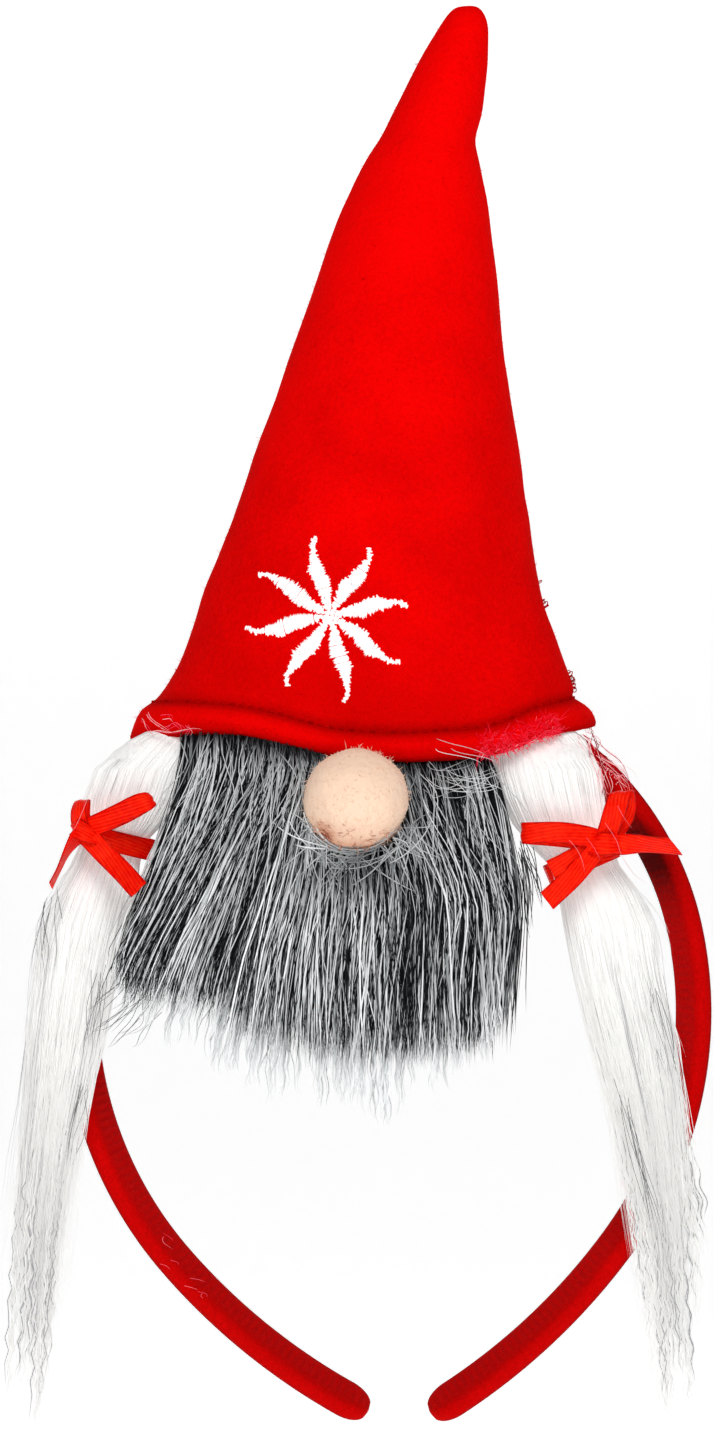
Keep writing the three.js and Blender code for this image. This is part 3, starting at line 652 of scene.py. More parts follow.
# %% [markdown]
# ## The snowflake
# It is machine embroidery in satin stitch: white thread laid to and fro across each petal, so close that
# the light runs along the threads, and the petals have a saw edge. Every thread is made as a low arch
# across its petal. The petals are lopsided, one corner nearer the middle, and they lean in pairs like
# mirror images, each with a small tab across its tip.
# %% Snowflake threads
FLAKE_TURNS = [104, 55, 11, -38, -77, -126, -168, 146]
FLAKE_REACHES = [0.95, 0.93, 0.93, 1, 1.04, 0.98, 1.01, 0.98]
PETAL_FROM = 1.2
PETAL_ROOT, PETAL_HALF, PETAL_TIP = 0.25, 2.25, 0.3
NEAR_CORNER, FAR_CORNER = 0.45, 0.68
STITCH_STEP = 0.36
ARCH = 0.3
TAB_LONG, TAB_WIDE, TAB_TURN = 2.6, 0.9, 37
TAB_SHOWS, TAB_OVERLAP, TAB_ARCH = 0.75, 0.3, ARCH * 0.8
KNOT_THREADS, KNOT_FROM, KNOT_HALF = 16, 0.4, 0.9
FLAKE_THICK, FLAKE_STEPS, FLAKE_SUNK = 0.21, 6, 0.1
THREAD_SLIP, EDGE_SLIP = 0.05, 0.2

# Painted light: the thread glows a little, which keeps the petals white where the threads shade each other.
satin_thread, start = finish("satin_thread", Roughness=0.5, Specular_IOR_Level=0.2, Emission_Strength=0.3)
thread_shade = ramp(start, tone_of(start), [(0, (0.93, 0.92, 0.92)), (1, (0.99, 0.98, 0.98))])
feed(satin_thread, Base_Color=thread_shade, Emission_Color=thread_shade)

flake_low, flake_high = box_of("snowflake")
flake_reach = (flake_high[2] - flake_low[2]) / 2
flake_middle = np.array([(flake_low[0] + flake_high[0]) / 2 + 0.2, (flake_low[2] + flake_high[2]) / 2 + 0.5])
chance = np.random.default_rng(5)


def lift_on_hat(flat, lift):
    """Moves points of the front view, as x and z, onto the front of the felt and out by a lift."""
    placed = []
    for (x, z), height in zip(flat, lift):
        place, out, _, _ = hat_tree.ray_cast(Vector((x, -60, z)), Vector((0, 1, 0)))
        placed.append(np.array(place) + np.array(out) * height)
    return placed


def satin_threads(middle, turn, starts, left, right, arch):
    """Threads across a shape that runs from its middle at a turn; left and right are its edges."""
    way = np.array([math.cos(math.radians(turn)), math.sin(math.radians(turn))])
    side = np.array([-way[1], way[0]])
    lines = []
    across = np.linspace(0, 1, FLAKE_STEPS)
    for at, a, b in zip(starts, left, right):
        ends = [middle + way * (at + chance.normal(0, THREAD_SLIP))
                + side * (edge + chance.normal(0, EDGE_SLIP)) for edge in (a, -b)]
        flat = ends[0] + (ends[1] - ends[0]) * across[:, None]
        lines.append(lift_on_hat(flat, arch * np.sin(across * math.pi) - FLAKE_SUNK))
    return lines


def snowflake():
    """All the threads: eight petals, each with a tab across its tip, and a round knot in the middle."""
    lines = []
    for i, (turn, share) in enumerate(zip(FLAKE_TURNS, FLAKE_REACHES)):
        reach = flake_reach * share
        way = np.array([math.cos(math.radians(turn)), math.sin(math.radians(turn))])
        end = reach - TAB_LONG * TAB_SHOWS
        starts = np.arange(PETAL_FROM, end, STITCH_STEP)
        corners = (FAR_CORNER, NEAR_CORNER) if i % 2 == 0 else (NEAR_CORNER, FAR_CORNER)
        halves = (PETAL_ROOT, PETAL_HALF, PETAL_TIP)
        left, right = (np.interp(starts / end, (0, corner, 1), halves) for corner in corners)
        lines += satin_threads(flake_middle, turn, starts, left, right, ARCH)
        tab_turn = turn - TAB_TURN if i % 2 == 0 else turn + TAB_TURN
        tab = np.arange(-TAB_OVERLAP, TAB_LONG - TAB_OVERLAP, STITCH_STEP)
        half = np.full(len(tab), TAB_WIDE / 2)
        lines += satin_threads(flake_middle + way * end, tab_turn, tab, half, half, TAB_ARCH)
    for turn in np.linspace(0, 360, KNOT_THREADS, endpoint=False) + chance.uniform(-8, 8, KNOT_THREADS):
        lines += satin_threads(flake_middle, turn, [KNOT_FROM], [KNOT_HALF], [KNOT_HALF], ARCH)
    return np.array(lines)


lines = snowflake()
tone = one_tone(lines, (0, 1), chance)
thick = np.full(lines.shape[:2], FLAKE_THICK)
strand_piece("snowflake_threads", lines, thick, tone, satin_thread, chance,
             ["snowflake"], sides=5)

# %% [markdown]
# ## The nose
# A ball of needle-felted wool: firm, round and matt, with a down of fine fibres. Rust-coloured fibres of
# the wool gather low on the ball, where it is glued into the beard. The smoothed solid gives the ball,
# noise pushes it a little out of true, and fibres stand all over it.
# %% Nose finish
WOOL_PALE, WOOL_MID, WOOL_RUST = (0.94, 0.68, 0.51), (0.74, 0.41, 0.27), (0.27, 0.04, 0.015)

# Painted light: the wool glows a little in its own colour.
wool, start = finish("nose_wool", Roughness=0.9, Specular_IOR_Level=0.1, Sheen_Weight=0.15,
                     Emission_Strength=0.09)
down = grain(start, 0.9, 5)
wool_shade = ramp(start, tone_of(start) * 0.7 + down * 0.3,
                  [(0.05, WOOL_RUST), (0.32, WOOL_MID), (0.8, WOOL_PALE)])
feed(wool, Base_Color=wool_shade, Emission_Color=wool_shade,
     Normal=raised(start, down + grain(start, 0.3, 3), 0.3))

# %% [markdown]
# The ball's tone falls towards its lower side: painted shade from a little below its middle, and darker
# still at its lower rim, partly painted shade and partly the rust colour of the wool there. A small rusty
# patch lies low on its left. Rusty fibres are thicker and stand out further than the pale down.
# %% Nose
NOSE_FIBRES = 2200
NOSE_STEPS = 4
NOSE_FIBRE_LONG, NOSE_FIBRE_THICK = 0.8, 0.055
RUST_STANDS, PALE_STANDS = 0.35, 0.55
NOSE_SHADE_FROM = 0.1
PATCH_PLACE = np.array([-7.2, -7.9])
PATCH_WIDE = 2.3
NOSE_LUMP, NOSE_DIMPLE, NOSE_GROW = 0.35, 0.12, 0.2
NOSE_LOW_SHADE, LOWEST_FADE, PATCH_FADE = 0.3, 0.5, 1.05

nose_low, nose_high = box_of("nose")
nose_middle, nose_half = (nose_low + nose_high) / 2, (nose_high - nose_low) / 2
nose_points, nose_out, nose_faces = refined("nose", 2)
bulge = NOSE_LUMP * lumps(nose_points, 6) + NOSE_DIMPLE * lumps(nose_points, 2, 1) + NOSE_GROW
nose_points = nose_points + nose_out * bulge[:, None]


def rust_patch(points):
    """1 in the middle of the rusty patch low on the left of the ball, and 0 well outside it."""
    off = (points - nose_middle)[:, [0, 2]] - PATCH_PLACE
    return np.exp(-((off / PATCH_WIDE) ** 2).sum(1)) * (points[:, 1] < nose_middle[1])


def nose_tone(points):
    """1 on the upper ball, less below it as painted shade, and rust at the rim and in the patch."""
    below = -(points - nose_middle)[:, 2] / nose_half[2]
    patch = rust_patch(points) * (1 + 0.5 * lumps(points, 1.5, 2))
    tone = 1 - NOSE_LOW_SHADE * ease(below, NOSE_SHADE_FROM, 0.8) - LOWEST_FADE * ease(below, 0.7, 0.98)
    return tone - PATCH_FADE * patch


nose = piece("nose_ball", nose_points, nose_faces, wool, ["nose"])
mark(nose, "tone", nose_tone(nose_points))
chance = np.random.default_rng(6)
places, outward = scattered(nose_points, nose_faces, NOSE_FIBRES, chance)
low = ease(-(places[:, 2] - nose_middle[2]) / nose_half[2], 0.45, 0.85)
rusty = chance.uniform(0, 1, NOSE_FIBRES) < low * 0.8 + rust_patch(places)
stands = outward * np.where(rusty, RUST_STANDS, PALE_STANDS)[:, None]
lines = nap(places, stands, NOSE_FIBRE_LONG, 1.0, 0.5, NOSE_STEPS, chance)
tone = np.where(rusty, chance.uniform(0.0, 0.5, NOSE_FIBRES), chance.uniform(0.82, 1, NOSE_FIBRES))
lines = lines + (lines - lines[:, :1]) * rusty[:, None, None]
thick = taper(NOSE_FIBRES, NOSE_STEPS, NOSE_FIBRE_THICK) * np.where(rusty, 2, 1)[:, None]
strand_piece("nose_fibres", lines, thick, np.repeat(tone[:, None], NOSE_STEPS, 1), wool, chance)

# %% [markdown]
# ## The beard
# Long-pile fur is woven backing with thousands of straight, springy hairs. They leave the backing in little
# tufts, cross, and gather into points further down. Most are charcoal, a good share of the front ones are
# grey or silver, and all end a little paler. So each hair has a root under the hem, a tip, a layer from the
# back to the front, and a tuft whose middle line it is drawn towards.
# %% Fur finish
FUR_GREYS = [(0, (0.006, 0.006, 0.007)), (0.3, (0.035, 0.037, 0.04)), (0.6, (0.2, 0.21, 0.22)),
             (1, (0.86, 0.87, 0.87))]
FUR_GLOW = [(0.45, (0, 0, 0)), (0.75, (0.25, 0.27, 0.28)), (1, (0.95, 0.98, 1))]
BACKING_GREYS = [(0.35, (0.012, 0.012, 0.014)), (0.65, (0.06, 0.06, 0.065))]

# Painted light: grey and silver hairs glow a little, the brightest most.
fur, start = finish("beard_fur", Roughness=0.6, Specular_IOR_Level=0.02, Emission_Strength=0.3)
fur_shade = ramp(start, tone_of(start), FUR_GREYS)
fur_glow = ramp(start, tone_of(start), FUR_GLOW)
feed(fur, Base_Color=fur_shade, Emission_Color=fur_glow)

backing, start = finish("fur_backing", Roughness=0.95, Specular_IOR_Level=0.02)
weave = grain(start, 1.2, 2, (1, 1, 0.25)) + grain(start, 1.2, 2, (0.25, 0.25, 1))
feed(backing, Base_Color=ramp(start, weave * 0.5, BACKING_GREYS), Normal=raised(start, weave, 0.3))

# %% [markdown]
# The beard's outline is two short tables: its left and right edge at the same levels, and how far down the
# thick of it falls at places across it. Roots lie in an arc just inside the hem. A hair starts a little
# towards the middle, bulges forwards on its way down and hangs back at its tip.
# %% Beard shape
BEARD_LEVELS = [-92, -76, -62, -54, -45, -38, -31, -24, -18, -13, -9, -4]
LEFT_EDGE = [-50, -51, -52.4, -53.4, -52.2, -50.2, -48, -46, -44.2, -43.4, -43, -42.6]
RIGHT_EDGE = [25, 27, 28.5, 29.8, 31, 30.6, 29.6, 28.4, 27.2, 25.6, 23.4, 20]
SWEEP = 0.5
FALL_ACROSS = [-1, -0.42, -0.3, -0.14, 0.19, 0.74, 0.9, 1]
BEARD_FALLS = [64, 68.5, 70.5, 76.5, 78.5, 78.5, 76, 70]
LEAN = 0.34
LEAN_LEVELS = (40, 76)
SWEEP_FALL, BULGE_FALL = 38, 50
STEP_SPREAD = 1.15
RIM_LEAST, RIM_SPREAD, RIM_SOFT = 0.84, 0.16, 0.08
GOLDEN = 0.618
BEARD_BACK, BEARD_FRONT, BEARD_ROUND = -25, -39, 11
TIP_BACK = 2.5
ROOT_DEEP, ROOT_SPAN = 21, 4
NOSE_CLEAR = 0.8


def beard_x(across, height):
    """How far right hair lies at a height, for a place across the beard from -1 to 1."""
    left, right = (np.interp(height, BEARD_LEVELS, edge) for edge in (LEFT_EDGE, RIGHT_EDGE))
    return left + (right - left) * (across + 1) / 2


def hair_roots(across, layer):
    """Where hairs leave the backing, just inside the hem: across from -1 to 1, layer from 0 to 1."""
    x = beard_x(across, BEARD_LEVELS[-1])
    turn = np.degrees(np.arcsin(np.clip((x - HEM_MIDDLE) / HEM_HALF, -1, 1)))
    y = -(ROOT_DEEP + ROOT_SPAN * layer) * np.cos(np.radians(turn))
    return np.stack([x, y, hem_height(turn) + 3 - 2 * layer], -1)


def beard_lines(across, layer, share, sweep, steps, front=0.0):
    """The middle lines of hairs before they are tufted.

    share is how much of the fall each reaches, and sweep how far it starts towards the middle of the beard.
    Low on the left the hairs lean outwards.
    """
    t = np.linspace(0, 1, steps) ** STEP_SPREAD
    root = hair_roots(across, layer)
    tip_z = -np.interp(across, FALL_ACROSS, BEARD_FALLS) * share
    z = root[:, 2:] + (tip_z - root[:, 2])[:, None] * t
    fallen = root[:, 2:] - z
    inward = sweep[:, None] * (1 - ease(fallen / SWEEP_FALL, 0, 1))
    inward = inward * (1 - ease(np.abs(across), 0.93, 1))[:, None]
    lean = LEAN * ease(-z, *LEAN_LEVELS) * np.clip((0.1 - across) / 1.1, 0, 1)[:, None]
    place = across[:, None] * (1 - inward) - lean
    # A hair that leans past the left edge piles up softly at a rim of its own.
    rim = RIM_LEAST + RIM_SPREAD * (np.arange(len(across)) * GOLDEN % 1)[:, None]
    x = beard_x(np.where(place < -rim, -rim - RIM_SOFT * np.tanh((-rim - place) * 6), place), z)
    face = BEARD_BACK + (BEARD_FRONT - BEARD_BACK) * layer + BEARD_ROUND * np.abs(across) ** 3 - front
    out = ease(fallen / BULGE_FALL, -0.12, 0.32)
    y = root[:, 1:2] + (face[:, None] - root[:, 1:2]) * out + TIP_BACK * t**2
    return np.stack([x, y, z], -1)


def ball_front(wide):
    """How far the ball of the nose stands in front of its middle, at a share of its size from there."""
    return nose_half[1] * np.sqrt(np.clip(1 - wide**2, 0, 1))


def behind_nose(lines):
    """Presses hair back where the ball of the nose sits in it."""
    off = (lines - nose_middle) / nose_half
    wide = np.sqrt(off[..., 0] ** 2 + off[..., 2] ** 2)
    back = nose_middle[1] + ball_front(wide) + NOSE_CLEAR
    push = np.clip(back - lines[..., 1], 0, None) * (1 - ease(wide, 0.97, 1.22))
    pushed = lines.copy()
    pushed[..., 1] += push
    return pushed


# %% [markdown]
# A hair follows its tuft more closely the further down it gets, which draws the small upside-down Ys of
# real fur. Tufts wander sideways. The fur is tufted twice: tufts of sixty hairs make its broad locks, and
# tufts of eight their points. Where the hem and the nose keep the light off, hairs are darker.
# %% Tufts
FUR_KINDS = [0.08, 0.5, 0.93]
RIGHT_DARKER, EDGE_PALER = 0.07, 0.1
DARK_ROOTS, DARK_UNTIL, DARK_NEVER = 0.38, (0.1, 0.5), -0.2
DARK_TONE, DARK_FADE = 0.3, 0.15
TUFT_KINDS = [(60, 0.25, 2.4), (8, 0.4, 1.4)]
PULL_LESS, PULL_MORE = 0.3, 0.2
TUFT_SHADE, HAIR_SHADE = 0.05, 0.05
TUFT_FROM, TUFT_TO = 0.02, 0.75
HALF_ACROSS, LAYERS_DEEP = 35, 9
FUR_SWAY, FUR_PACE = 1.2, (3, 8)
FUR_DRIFT, FUR_CURVE = 5.2, 2.5
SIDE_STILL = 0.7
PALE_TIP, PALE_FROM = 0.16, 0.88
NOSE_SHADOW, RING_SHADOW, RING_RIGHT = 0.5, 0.28, 0.14
NEAREST_BATCH = 1000


def wander(count, steps, size, chance, pace=(2, 6)):
    """Sideways drift of strands, none at the root. size is in millimetres, pace in radians of wave."""
    t = np.linspace(0, 1, steps)
    phase = chance.uniform(0, 2 * math.pi, (count, 1, 2))
    pace = chance.uniform(*pace, (count, 1, 2))
    wave = np.sin(phase + pace * t[None, :, None]) - np.sin(phase)
    flat = wave * size * chance.uniform(0.4, 1, (count, 1, 1))
    return np.stack([flat[..., 0], flat[..., 1], np.zeros((count, steps))], -1)


def nearest(spots, guides):
    """For each spot the number of the guide that lies nearest."""
    found = np.empty(len(spots), int)
    for low in range(0, len(spots), NEAREST_BATCH):
        batch = slice(low, low + NEAREST_BATCH)
        found[batch] = ((spots[batch, None] - guides[None]) ** 2).sum(-1).argmin(1)
    return found


def tufted(lines, spots, guide_lines, guide_spots, strength, low, high):
    """Draws hairs towards the middle line of their tuft, each by its strength, from low to high along."""
    mine = guide_lines[nearest(spots, guide_spots)]
    t = np.linspace(0, 1, lines.shape[1])
    pull = strength[:, None] * ease(t, low, high)
    offset = (mine - lines) * [1, 1, 0]
    return lines + offset * pull[..., None]


def in_shadow(lines):
    """How much light reaches hair, from 0 to 1: little of it just under the hem and under the nose."""
    below = hem_height(hem_turn(lines)) - lines[..., 2]
    off = (lines - nose_middle) / nose_half
    under = np.exp(-((off[..., 0] / 1.1) ** 2 + ((off[..., 2] + 1.4) / 0.5) ** 2))
    # A ring round the ball is dark too, and darker on its right.
    near = np.exp(-(((np.sqrt(off[..., 0] ** 2 + off[..., 2] ** 2) - 1.1) / 0.22) ** 2))
    ring = (RING_SHADOW + RING_RIGHT * np.tanh(off[..., 0])) * near
    by_hem = (0.1 + 0.9 * ease(below, 0.3, 3)) * (0.89 + 0.11 * ease(below, 2, 34))
    return by_hem * ((1 - NOSE_SHADOW * under) * (1 - ring))


def fur_layer(count, low, high, shares, mix, chance, steps=12):
    """Hairs of the beard in a span of layers, tufted twice, with their tones.

    shares bounds how much of the fall they reach. A hair's luck, against mix, makes it black, grey or silver.
    A row of TUFT_KINDS has the hairs in a tuft, how strongly it draws them and how far it sways.
    """
    across, layer = chance.uniform(-1, 1, count), chance.uniform(low, high, count)
    share = shares[0] + (shares[1] - shares[0]) * chance.beta(1.7, 1.7, count)
    sweep = chance.uniform(0, SWEEP, count)
    t = np.linspace(0, 1, steps)
    lines = beard_lines(across, layer, share, sweep, steps)
    spots = np.stack([across * HALF_ACROSS, layer * LAYERS_DEEP], -1)
    # Right of the middle the fur is a little darker, and paler again at its right edge.
    luck = chance.uniform(0, 1, count) - RIGHT_DARKER * ease(across, 0.1, 0.5)
    luck = luck + EDGE_PALER * ease(across, 0.8, 1)
    for hairs, strength, sway in TUFT_KINDS:
        tufts = count // hairs
        picked = chance.choice(count, tufts, replace=False)
        fall = np.full(tufts, share.mean())
        guides = beard_lines(across[picked], layer[picked], fall, sweep[picked], steps)
        guides = guides + wander(tufts, steps, sway, chance)
        pull = chance.uniform(strength - PULL_LESS, strength + PULL_MORE, count)
        lines = tufted(lines, spots, guides, spots[picked], pull, TUFT_FROM, TUFT_TO)
        luck = luck + chance.normal(0, TUFT_SHADE, tufts)[nearest(spots, spots[picked])]
    tone = np.array(FUR_KINDS)[np.digitize(luck, mix)] + chance.normal(0, HAIR_SHADE, count)
    # Hairs at the sides of the beard stray less, so that its outline stays.
    free = 1 - SIDE_STILL * np.abs(across[:, None]) ** 3
    lines = lines + wander(count, steps, FUR_SWAY, chance, FUR_PACE) * free[..., None]
    drift = chance.normal(0, FUR_DRIFT, (count, 1)) * t + chance.normal(0, FUR_CURVE, (count, 1)) * t**2
    lines[..., 0] += drift * free
    lines = behind_nose(lines)
    # Painted shade: many hairs are dark for the first part of their way, where others lie over them.
    is_dark = chance.uniform(0, 1, count) < DARK_ROOTS
    dark_until = np.where(is_dark, chance.uniform(*DARK_UNTIL, count), DARK_NEVER)[:, None]
    tone = tone[:, None] * (DARK_TONE + (1 - DARK_TONE) * ease(t - dark_until, 0, DARK_FADE))
    tone = tone * in_shadow(lines) + PALE_TIP * ease(t, PALE_FROM, 1)
    return lines, np.clip(tone, 0, 1)


# %% [markdown]
# Three pieces keep each mesh at a fair size: the dark depth of the fur, its middle, and its front, where
# most of the silver hairs are. Each row of their table has a name, the hairs, the span of layers, the shares
# of the fall, the mix of kinds and the half width of a hair. The woven backing closes the view through from
# behind.
# %% Beard pieces
BACKING_LONG, BACKING_THICK = 42, 1.2
BACKING_COLUMNS, BACKING_ROWS = 60, 30
BACKING_SPREAD, BACKING_BEHIND, BACKING_RUCK = 0.06, 2.2, 0.25
FUR_TIP, FUR_EVEN = 0.25, 0.85
DARK_FINE, SILVER_COARSE = 0.85, 0.55
# The deep hairs are nearly all charcoal: partly the fur's own colour, partly painted shade inside the fur.
BEARD_PARTS = [("beard_deep", 1200, 0, 0.5, (0.88, 1.0), (0.95, 1.6), 0.26),
               ("beard_middle", 1800, 0.35, 0.8, (0.9, 1.04), (0.76, 0.86), 0.17),
               ("beard_front", 2600, 0.7, 1, (0.9, 1.05), (0.71, 0.79), 0.135)]

chance = np.random.default_rng(7)
for name, count, low, high, shares, mix, thick in BEARD_PARTS:
    lines, tone = fur_layer(count, low, high, shares, mix, chance)
    thick = taper(count, lines.shape[1], thick, FUR_TIP, chance, FUR_EVEN)
    # Silver hairs are coarser than dark ones.
    thick = thick * (DARK_FINE + SILVER_COARSE * ease(tone.max(1), 0.6, 0.9))[:, None]
    strand_piece(name, lines, thick, tone, fur, chance, ["beard"])

columns, rows = np.linspace(-0.97, 0.97, BACKING_COLUMNS), np.linspace(0, BACKING_LONG, BACKING_ROWS)
across, drop = np.meshgrid(columns, rows)
root = hair_roots(across.ravel(), np.zeros(across.size)).reshape(*across.shape, 3)
spread = drop * BACKING_SPREAD
grid = root + np.stack([across * spread, BACKING_BEHIND - spread, -drop], -1)
grid[..., 1] += BACKING_RUCK * np.sin(grid[..., 0] * 1.3) * np.sin(drop * 1.1)
points, faces = closed_sheet(grid, grid + [0, BACKING_THICK, 0])
piece("beard_backing", points, faces, backing, ["beard"])

# %% [markdown]
# Fur is never combed flat. Some hairs cross the others at an angle, some are bent round the lower edge of
# the nose, where they show as fine silver arcs, and under the nose short ones swirl in every direction.
# %% Loose beard hairs
STRAY_HAIRS = 620
ARC_HAIRS = 28
SWIRL_HAIRS = 70
STRAY_STEPS = 10
STRAY_THICK = 0.12
STRAY_REACH, STRAY_STILL = (0.35, 1.05), 0.65
STRAY_DRIFT, STRAY_CURVE = 5, 3
STRAY_SWAY, STRAY_PACE = 1.6, (4, 10)
ARC_TURNS, SWIRL_TURNS = (215, 325), (205, 335)
ARC_HALF, SWIRL_FALL = (15, 42), 12


def stray_beard(chance):
    """Hairs of the front that cross the others at an angle."""
    across, layer = chance.uniform(-1, 1, STRAY_HAIRS), chance.uniform(0.8, 1, STRAY_HAIRS)
    share, sweep = chance.uniform(*STRAY_REACH, STRAY_HAIRS), chance.uniform(0, SWEEP, STRAY_HAIRS)
    lines = beard_lines(across, layer, share, sweep, STRAY_STEPS, front=0.6)
    t = np.linspace(0, 1, STRAY_STEPS)
    each = (STRAY_HAIRS, 1)
    sway = chance.normal(0, STRAY_DRIFT, each) * t**1.3 + chance.normal(0, STRAY_CURVE, each) * t**2
    lines[..., 0] += sway * (1 - STRAY_STILL * np.abs(across)[:, None] ** 3)
    return behind_nose(lines + wander(STRAY_HAIRS, STRAY_STEPS, STRAY_SWAY, chance, STRAY_PACE))


def round_nose(turn, grow, front):
    """Places round the nose at turns in radians, at a share of its size and so far in front of its middle."""
    x = nose_middle[0] + nose_half[0] * grow * np.cos(turn)
    z = nose_middle[2] + nose_half[2] * grow * np.sin(turn)
    return np.stack([x, nose_middle[1] - front, z], -1)


def nose_arcs(chance):
    """Hairs bent round the lower edge of the nose."""
    across = np.linspace(-1, 1, STRAY_STEPS)
    each = (ARC_HAIRS, 1)
    turn = np.radians(chance.uniform(*ARC_TURNS, each) + chance.uniform(*ARC_HALF, each) * across)
    grow = 0.95 + np.abs(chance.normal(0, 0.2, each)) + chance.normal(0, 0.07, each) * across
    return round_nose(turn, grow, np.maximum(ball_front(grow), 1.5) + chance.uniform(0.3, 2, each))


def nose_swirl(chance):
    """Short hairs that swirl away from the lower edge of the nose."""
    t = np.linspace(0, 1, STRAY_STEPS)
    each = (SWIRL_HAIRS, 1)
    turn = np.radians(chance.uniform(*SWIRL_TURNS, each)) + chance.normal(0, 0.5, each) * t
    grow = chance.uniform(0.97, 1.2, each) + chance.uniform(0.1, 0.8, each) * t**1.2
    lines = round_nose(turn, grow, np.maximum(ball_front(grow), 2.2 - 1.5 * t) + chance.uniform(0, 1.8, each))
    lines[..., 2] -= chance.uniform(0, SWIRL_FALL, each) * t**1.6
    return lines + wander(SWIRL_HAIRS, STRAY_STEPS, 0.9, chance)


chance = np.random.default_rng(8)
bent = np.concatenate([nose_arcs(chance), nose_swirl(chance)])
# No bent hair may lie over the hem.
bent = bent[(hem_height(hem_turn(bent)) - bent[..., 2]).min(1) > 1]
lines = np.concatenate([stray_beard(chance), bent])
is_bent = (np.arange(len(lines)) >= STRAY_HAIRS)[:, None]
light = in_shadow(lines)
tone = chance.uniform(0.7, 0.98, (len(lines), 1)) * np.where(is_bent, light**0.3, np.sqrt(light))
thick = taper(len(lines), STRAY_STEPS, STRAY_THICK, 0.2, chance) * np.where(is_bent, 1.25, 1)
strand_piece("beard_strays", lines, thick, tone, fur, chance)

# %% [markdown]
# The thick of the fur ends in a ragged line. Below it hang the longest hairs, few, pale and a little wavy,
# in locks of five. Low on the left they curve out over the pigtail. A short table says how deep they reach
# and how far they lean at places across.
# %% Beard tips
TIP_LOCKS, LEFT_LOCKS = 96, 24
TIPS_LEFT, TIPS_RIGHT = (-57, -30), (-30, 29)
TIP_LONG, TIP_RAGGED = (16, 30), 8
TIP_FRONTS, TIP_SWAY = (24, 36), 0.4
LOCK_HAIRS = 5
TIP_STEPS = 10
TIP_THICK = 0.15
TIP_WAVE, TIP_WAVE_PACE = 0.45, 0.8
TIP_ACROSS = [-58, -54, -46.6, -32.5, -26, -22, -16.5, -12, -5.4, 2.3, 6.8, 10, 16.8, 21.2, 25.7, 29.5]
TIP_DEPTHS = [70, 71, 77, 84, 86, 92, 86, 90, 89, 93, 89, 86.5, 86, 81.5, 77, 74]
TIP_LEANS = [13, 11, 9, 5, 3, 1, 0, 0, 0, 0, 0, -0.5, -1, -1, -1.5, -2]


def for_locks(values, hairs):
    """A number for each lock, repeated for so many hairs, as a column."""
    return np.repeat(values, hairs)[:, None]


def beard_tips(chance):
    """Locks of wavy hairs between the thick of the fur and its lowest tips."""
    x = [chance.uniform(*TIPS_LEFT, LEFT_LOCKS), chance.uniform(*TIPS_RIGHT, TIP_LOCKS - LEFT_LOCKS)]
    x = np.sort(np.concatenate(x))
    depth = np.interp(x, TIP_ACROSS, TIP_DEPTHS) + 2 - chance.uniform(0, TIP_RAGGED, TIP_LOCKS)
    lean = np.interp(x, TIP_ACROSS, TIP_LEANS)
    x, depth, lean = (for_locks(values, LOCK_HAIRS) for values in (x, depth, lean))
    count = TIP_LOCKS * LOCK_HAIRS
    t = np.linspace(0, 1, TIP_STEPS)
    start = depth - chance.uniform(*TIP_LONG, (count, 1))
    z = -(start + (depth * chance.uniform(0.97, 1, (count, 1)) - start) * t)
    spread = chance.normal(0, 1, (count, 1)) * (0.9 - 0.6 * t)
    phase = for_locks(chance.uniform(0, 2 * math.pi, TIP_LOCKS), LOCK_HAIRS)
    wave = TIP_WAVE * np.sin(z * TIP_WAVE_PACE + phase) * t
    front = for_locks(chance.uniform(*TIP_FRONTS, TIP_LOCKS), LOCK_HAIRS)
    front = front + chance.normal(0, 0.8, (count, 1)) - 3 * t - 6 * ease(-x, 45, 60)
    lines = np.stack([x + lean * (1 - t) ** 1.6 + spread + wave, -front, z], -1)
    return lines + wander(count, TIP_STEPS, TIP_SWAY, chance)


chance = np.random.default_rng(13)
lines = beard_tips(chance)
tone = chance.uniform(0.74, 0.96, (len(lines), 1)) + 0.12 * np.linspace(-1, 1, TIP_STEPS)
thick = taper(len(lines), TIP_STEPS, TIP_THICK, 0.5, chance, 0.8)
strand_piece("beard_tips", lines, thick, tone, fur, chance)

# %% [markdown]
# ## The pigtails
# Fine white hair, smooth and a little glossy, puffed above the ribbon, pinched under it, then falling
# straight and thinning into ragged tips. Level cuts through each solid tell how wide and deep the bundle is
# all the way down. A hair keeps its own place in those ovals, so it swells and pinches with them, and near
# the tips it is drawn into a lock. A soft white core inside keeps the bundle from being seen through.
# %% White hair finish
HAIR_WHITES = [(0, (0.03, 0.03, 0.034)), (0.3, (0.38, 0.38, 0.4)), (0.6, (0.86, 0.86, 0.85)),
               (1, (0.95, 0.945, 0.93))]
CORE_WHITES = [(0.3, (0.76, 0.76, 0.75)), (0.6, (0.93, 0.925, 0.91))]

# Painted light: white hair and its core glow a little, so the bundle stays white where strands shade it.
white_hair, start = finish("white_hair", Roughness=0.45, Specular_IOR_Level=0.3, Emission_Strength=0.19)
hair_shade = ramp(start, tone_of(start), HAIR_WHITES)
feed(white_hair, Emission_Color=hair_shade, Base_Color=hair_shade)

hair_core, start = finish("hair_core", Roughness=0.7, Emission_Strength=0.24)
streaks = grain(start, 1.2, 3, (1, 1, 0.06))
core_shade = ramp(start, streaks, CORE_WHITES)
feed(hair_core, Base_Color=core_shade, Emission_Color=core_shade, Normal=raised(start, streaks, 0.4))

# %% [markdown]
# A pigtail's solid is measured in ovals, one every 2 mm down. A place in the unit circle then stands for
# the same place in every oval.
# %% Pigtail helpers
LEVEL_STEP = 2.0
TIP_LEAST = 1.2
CORE_REACH, CORE_THINS = 0.66, 0.85


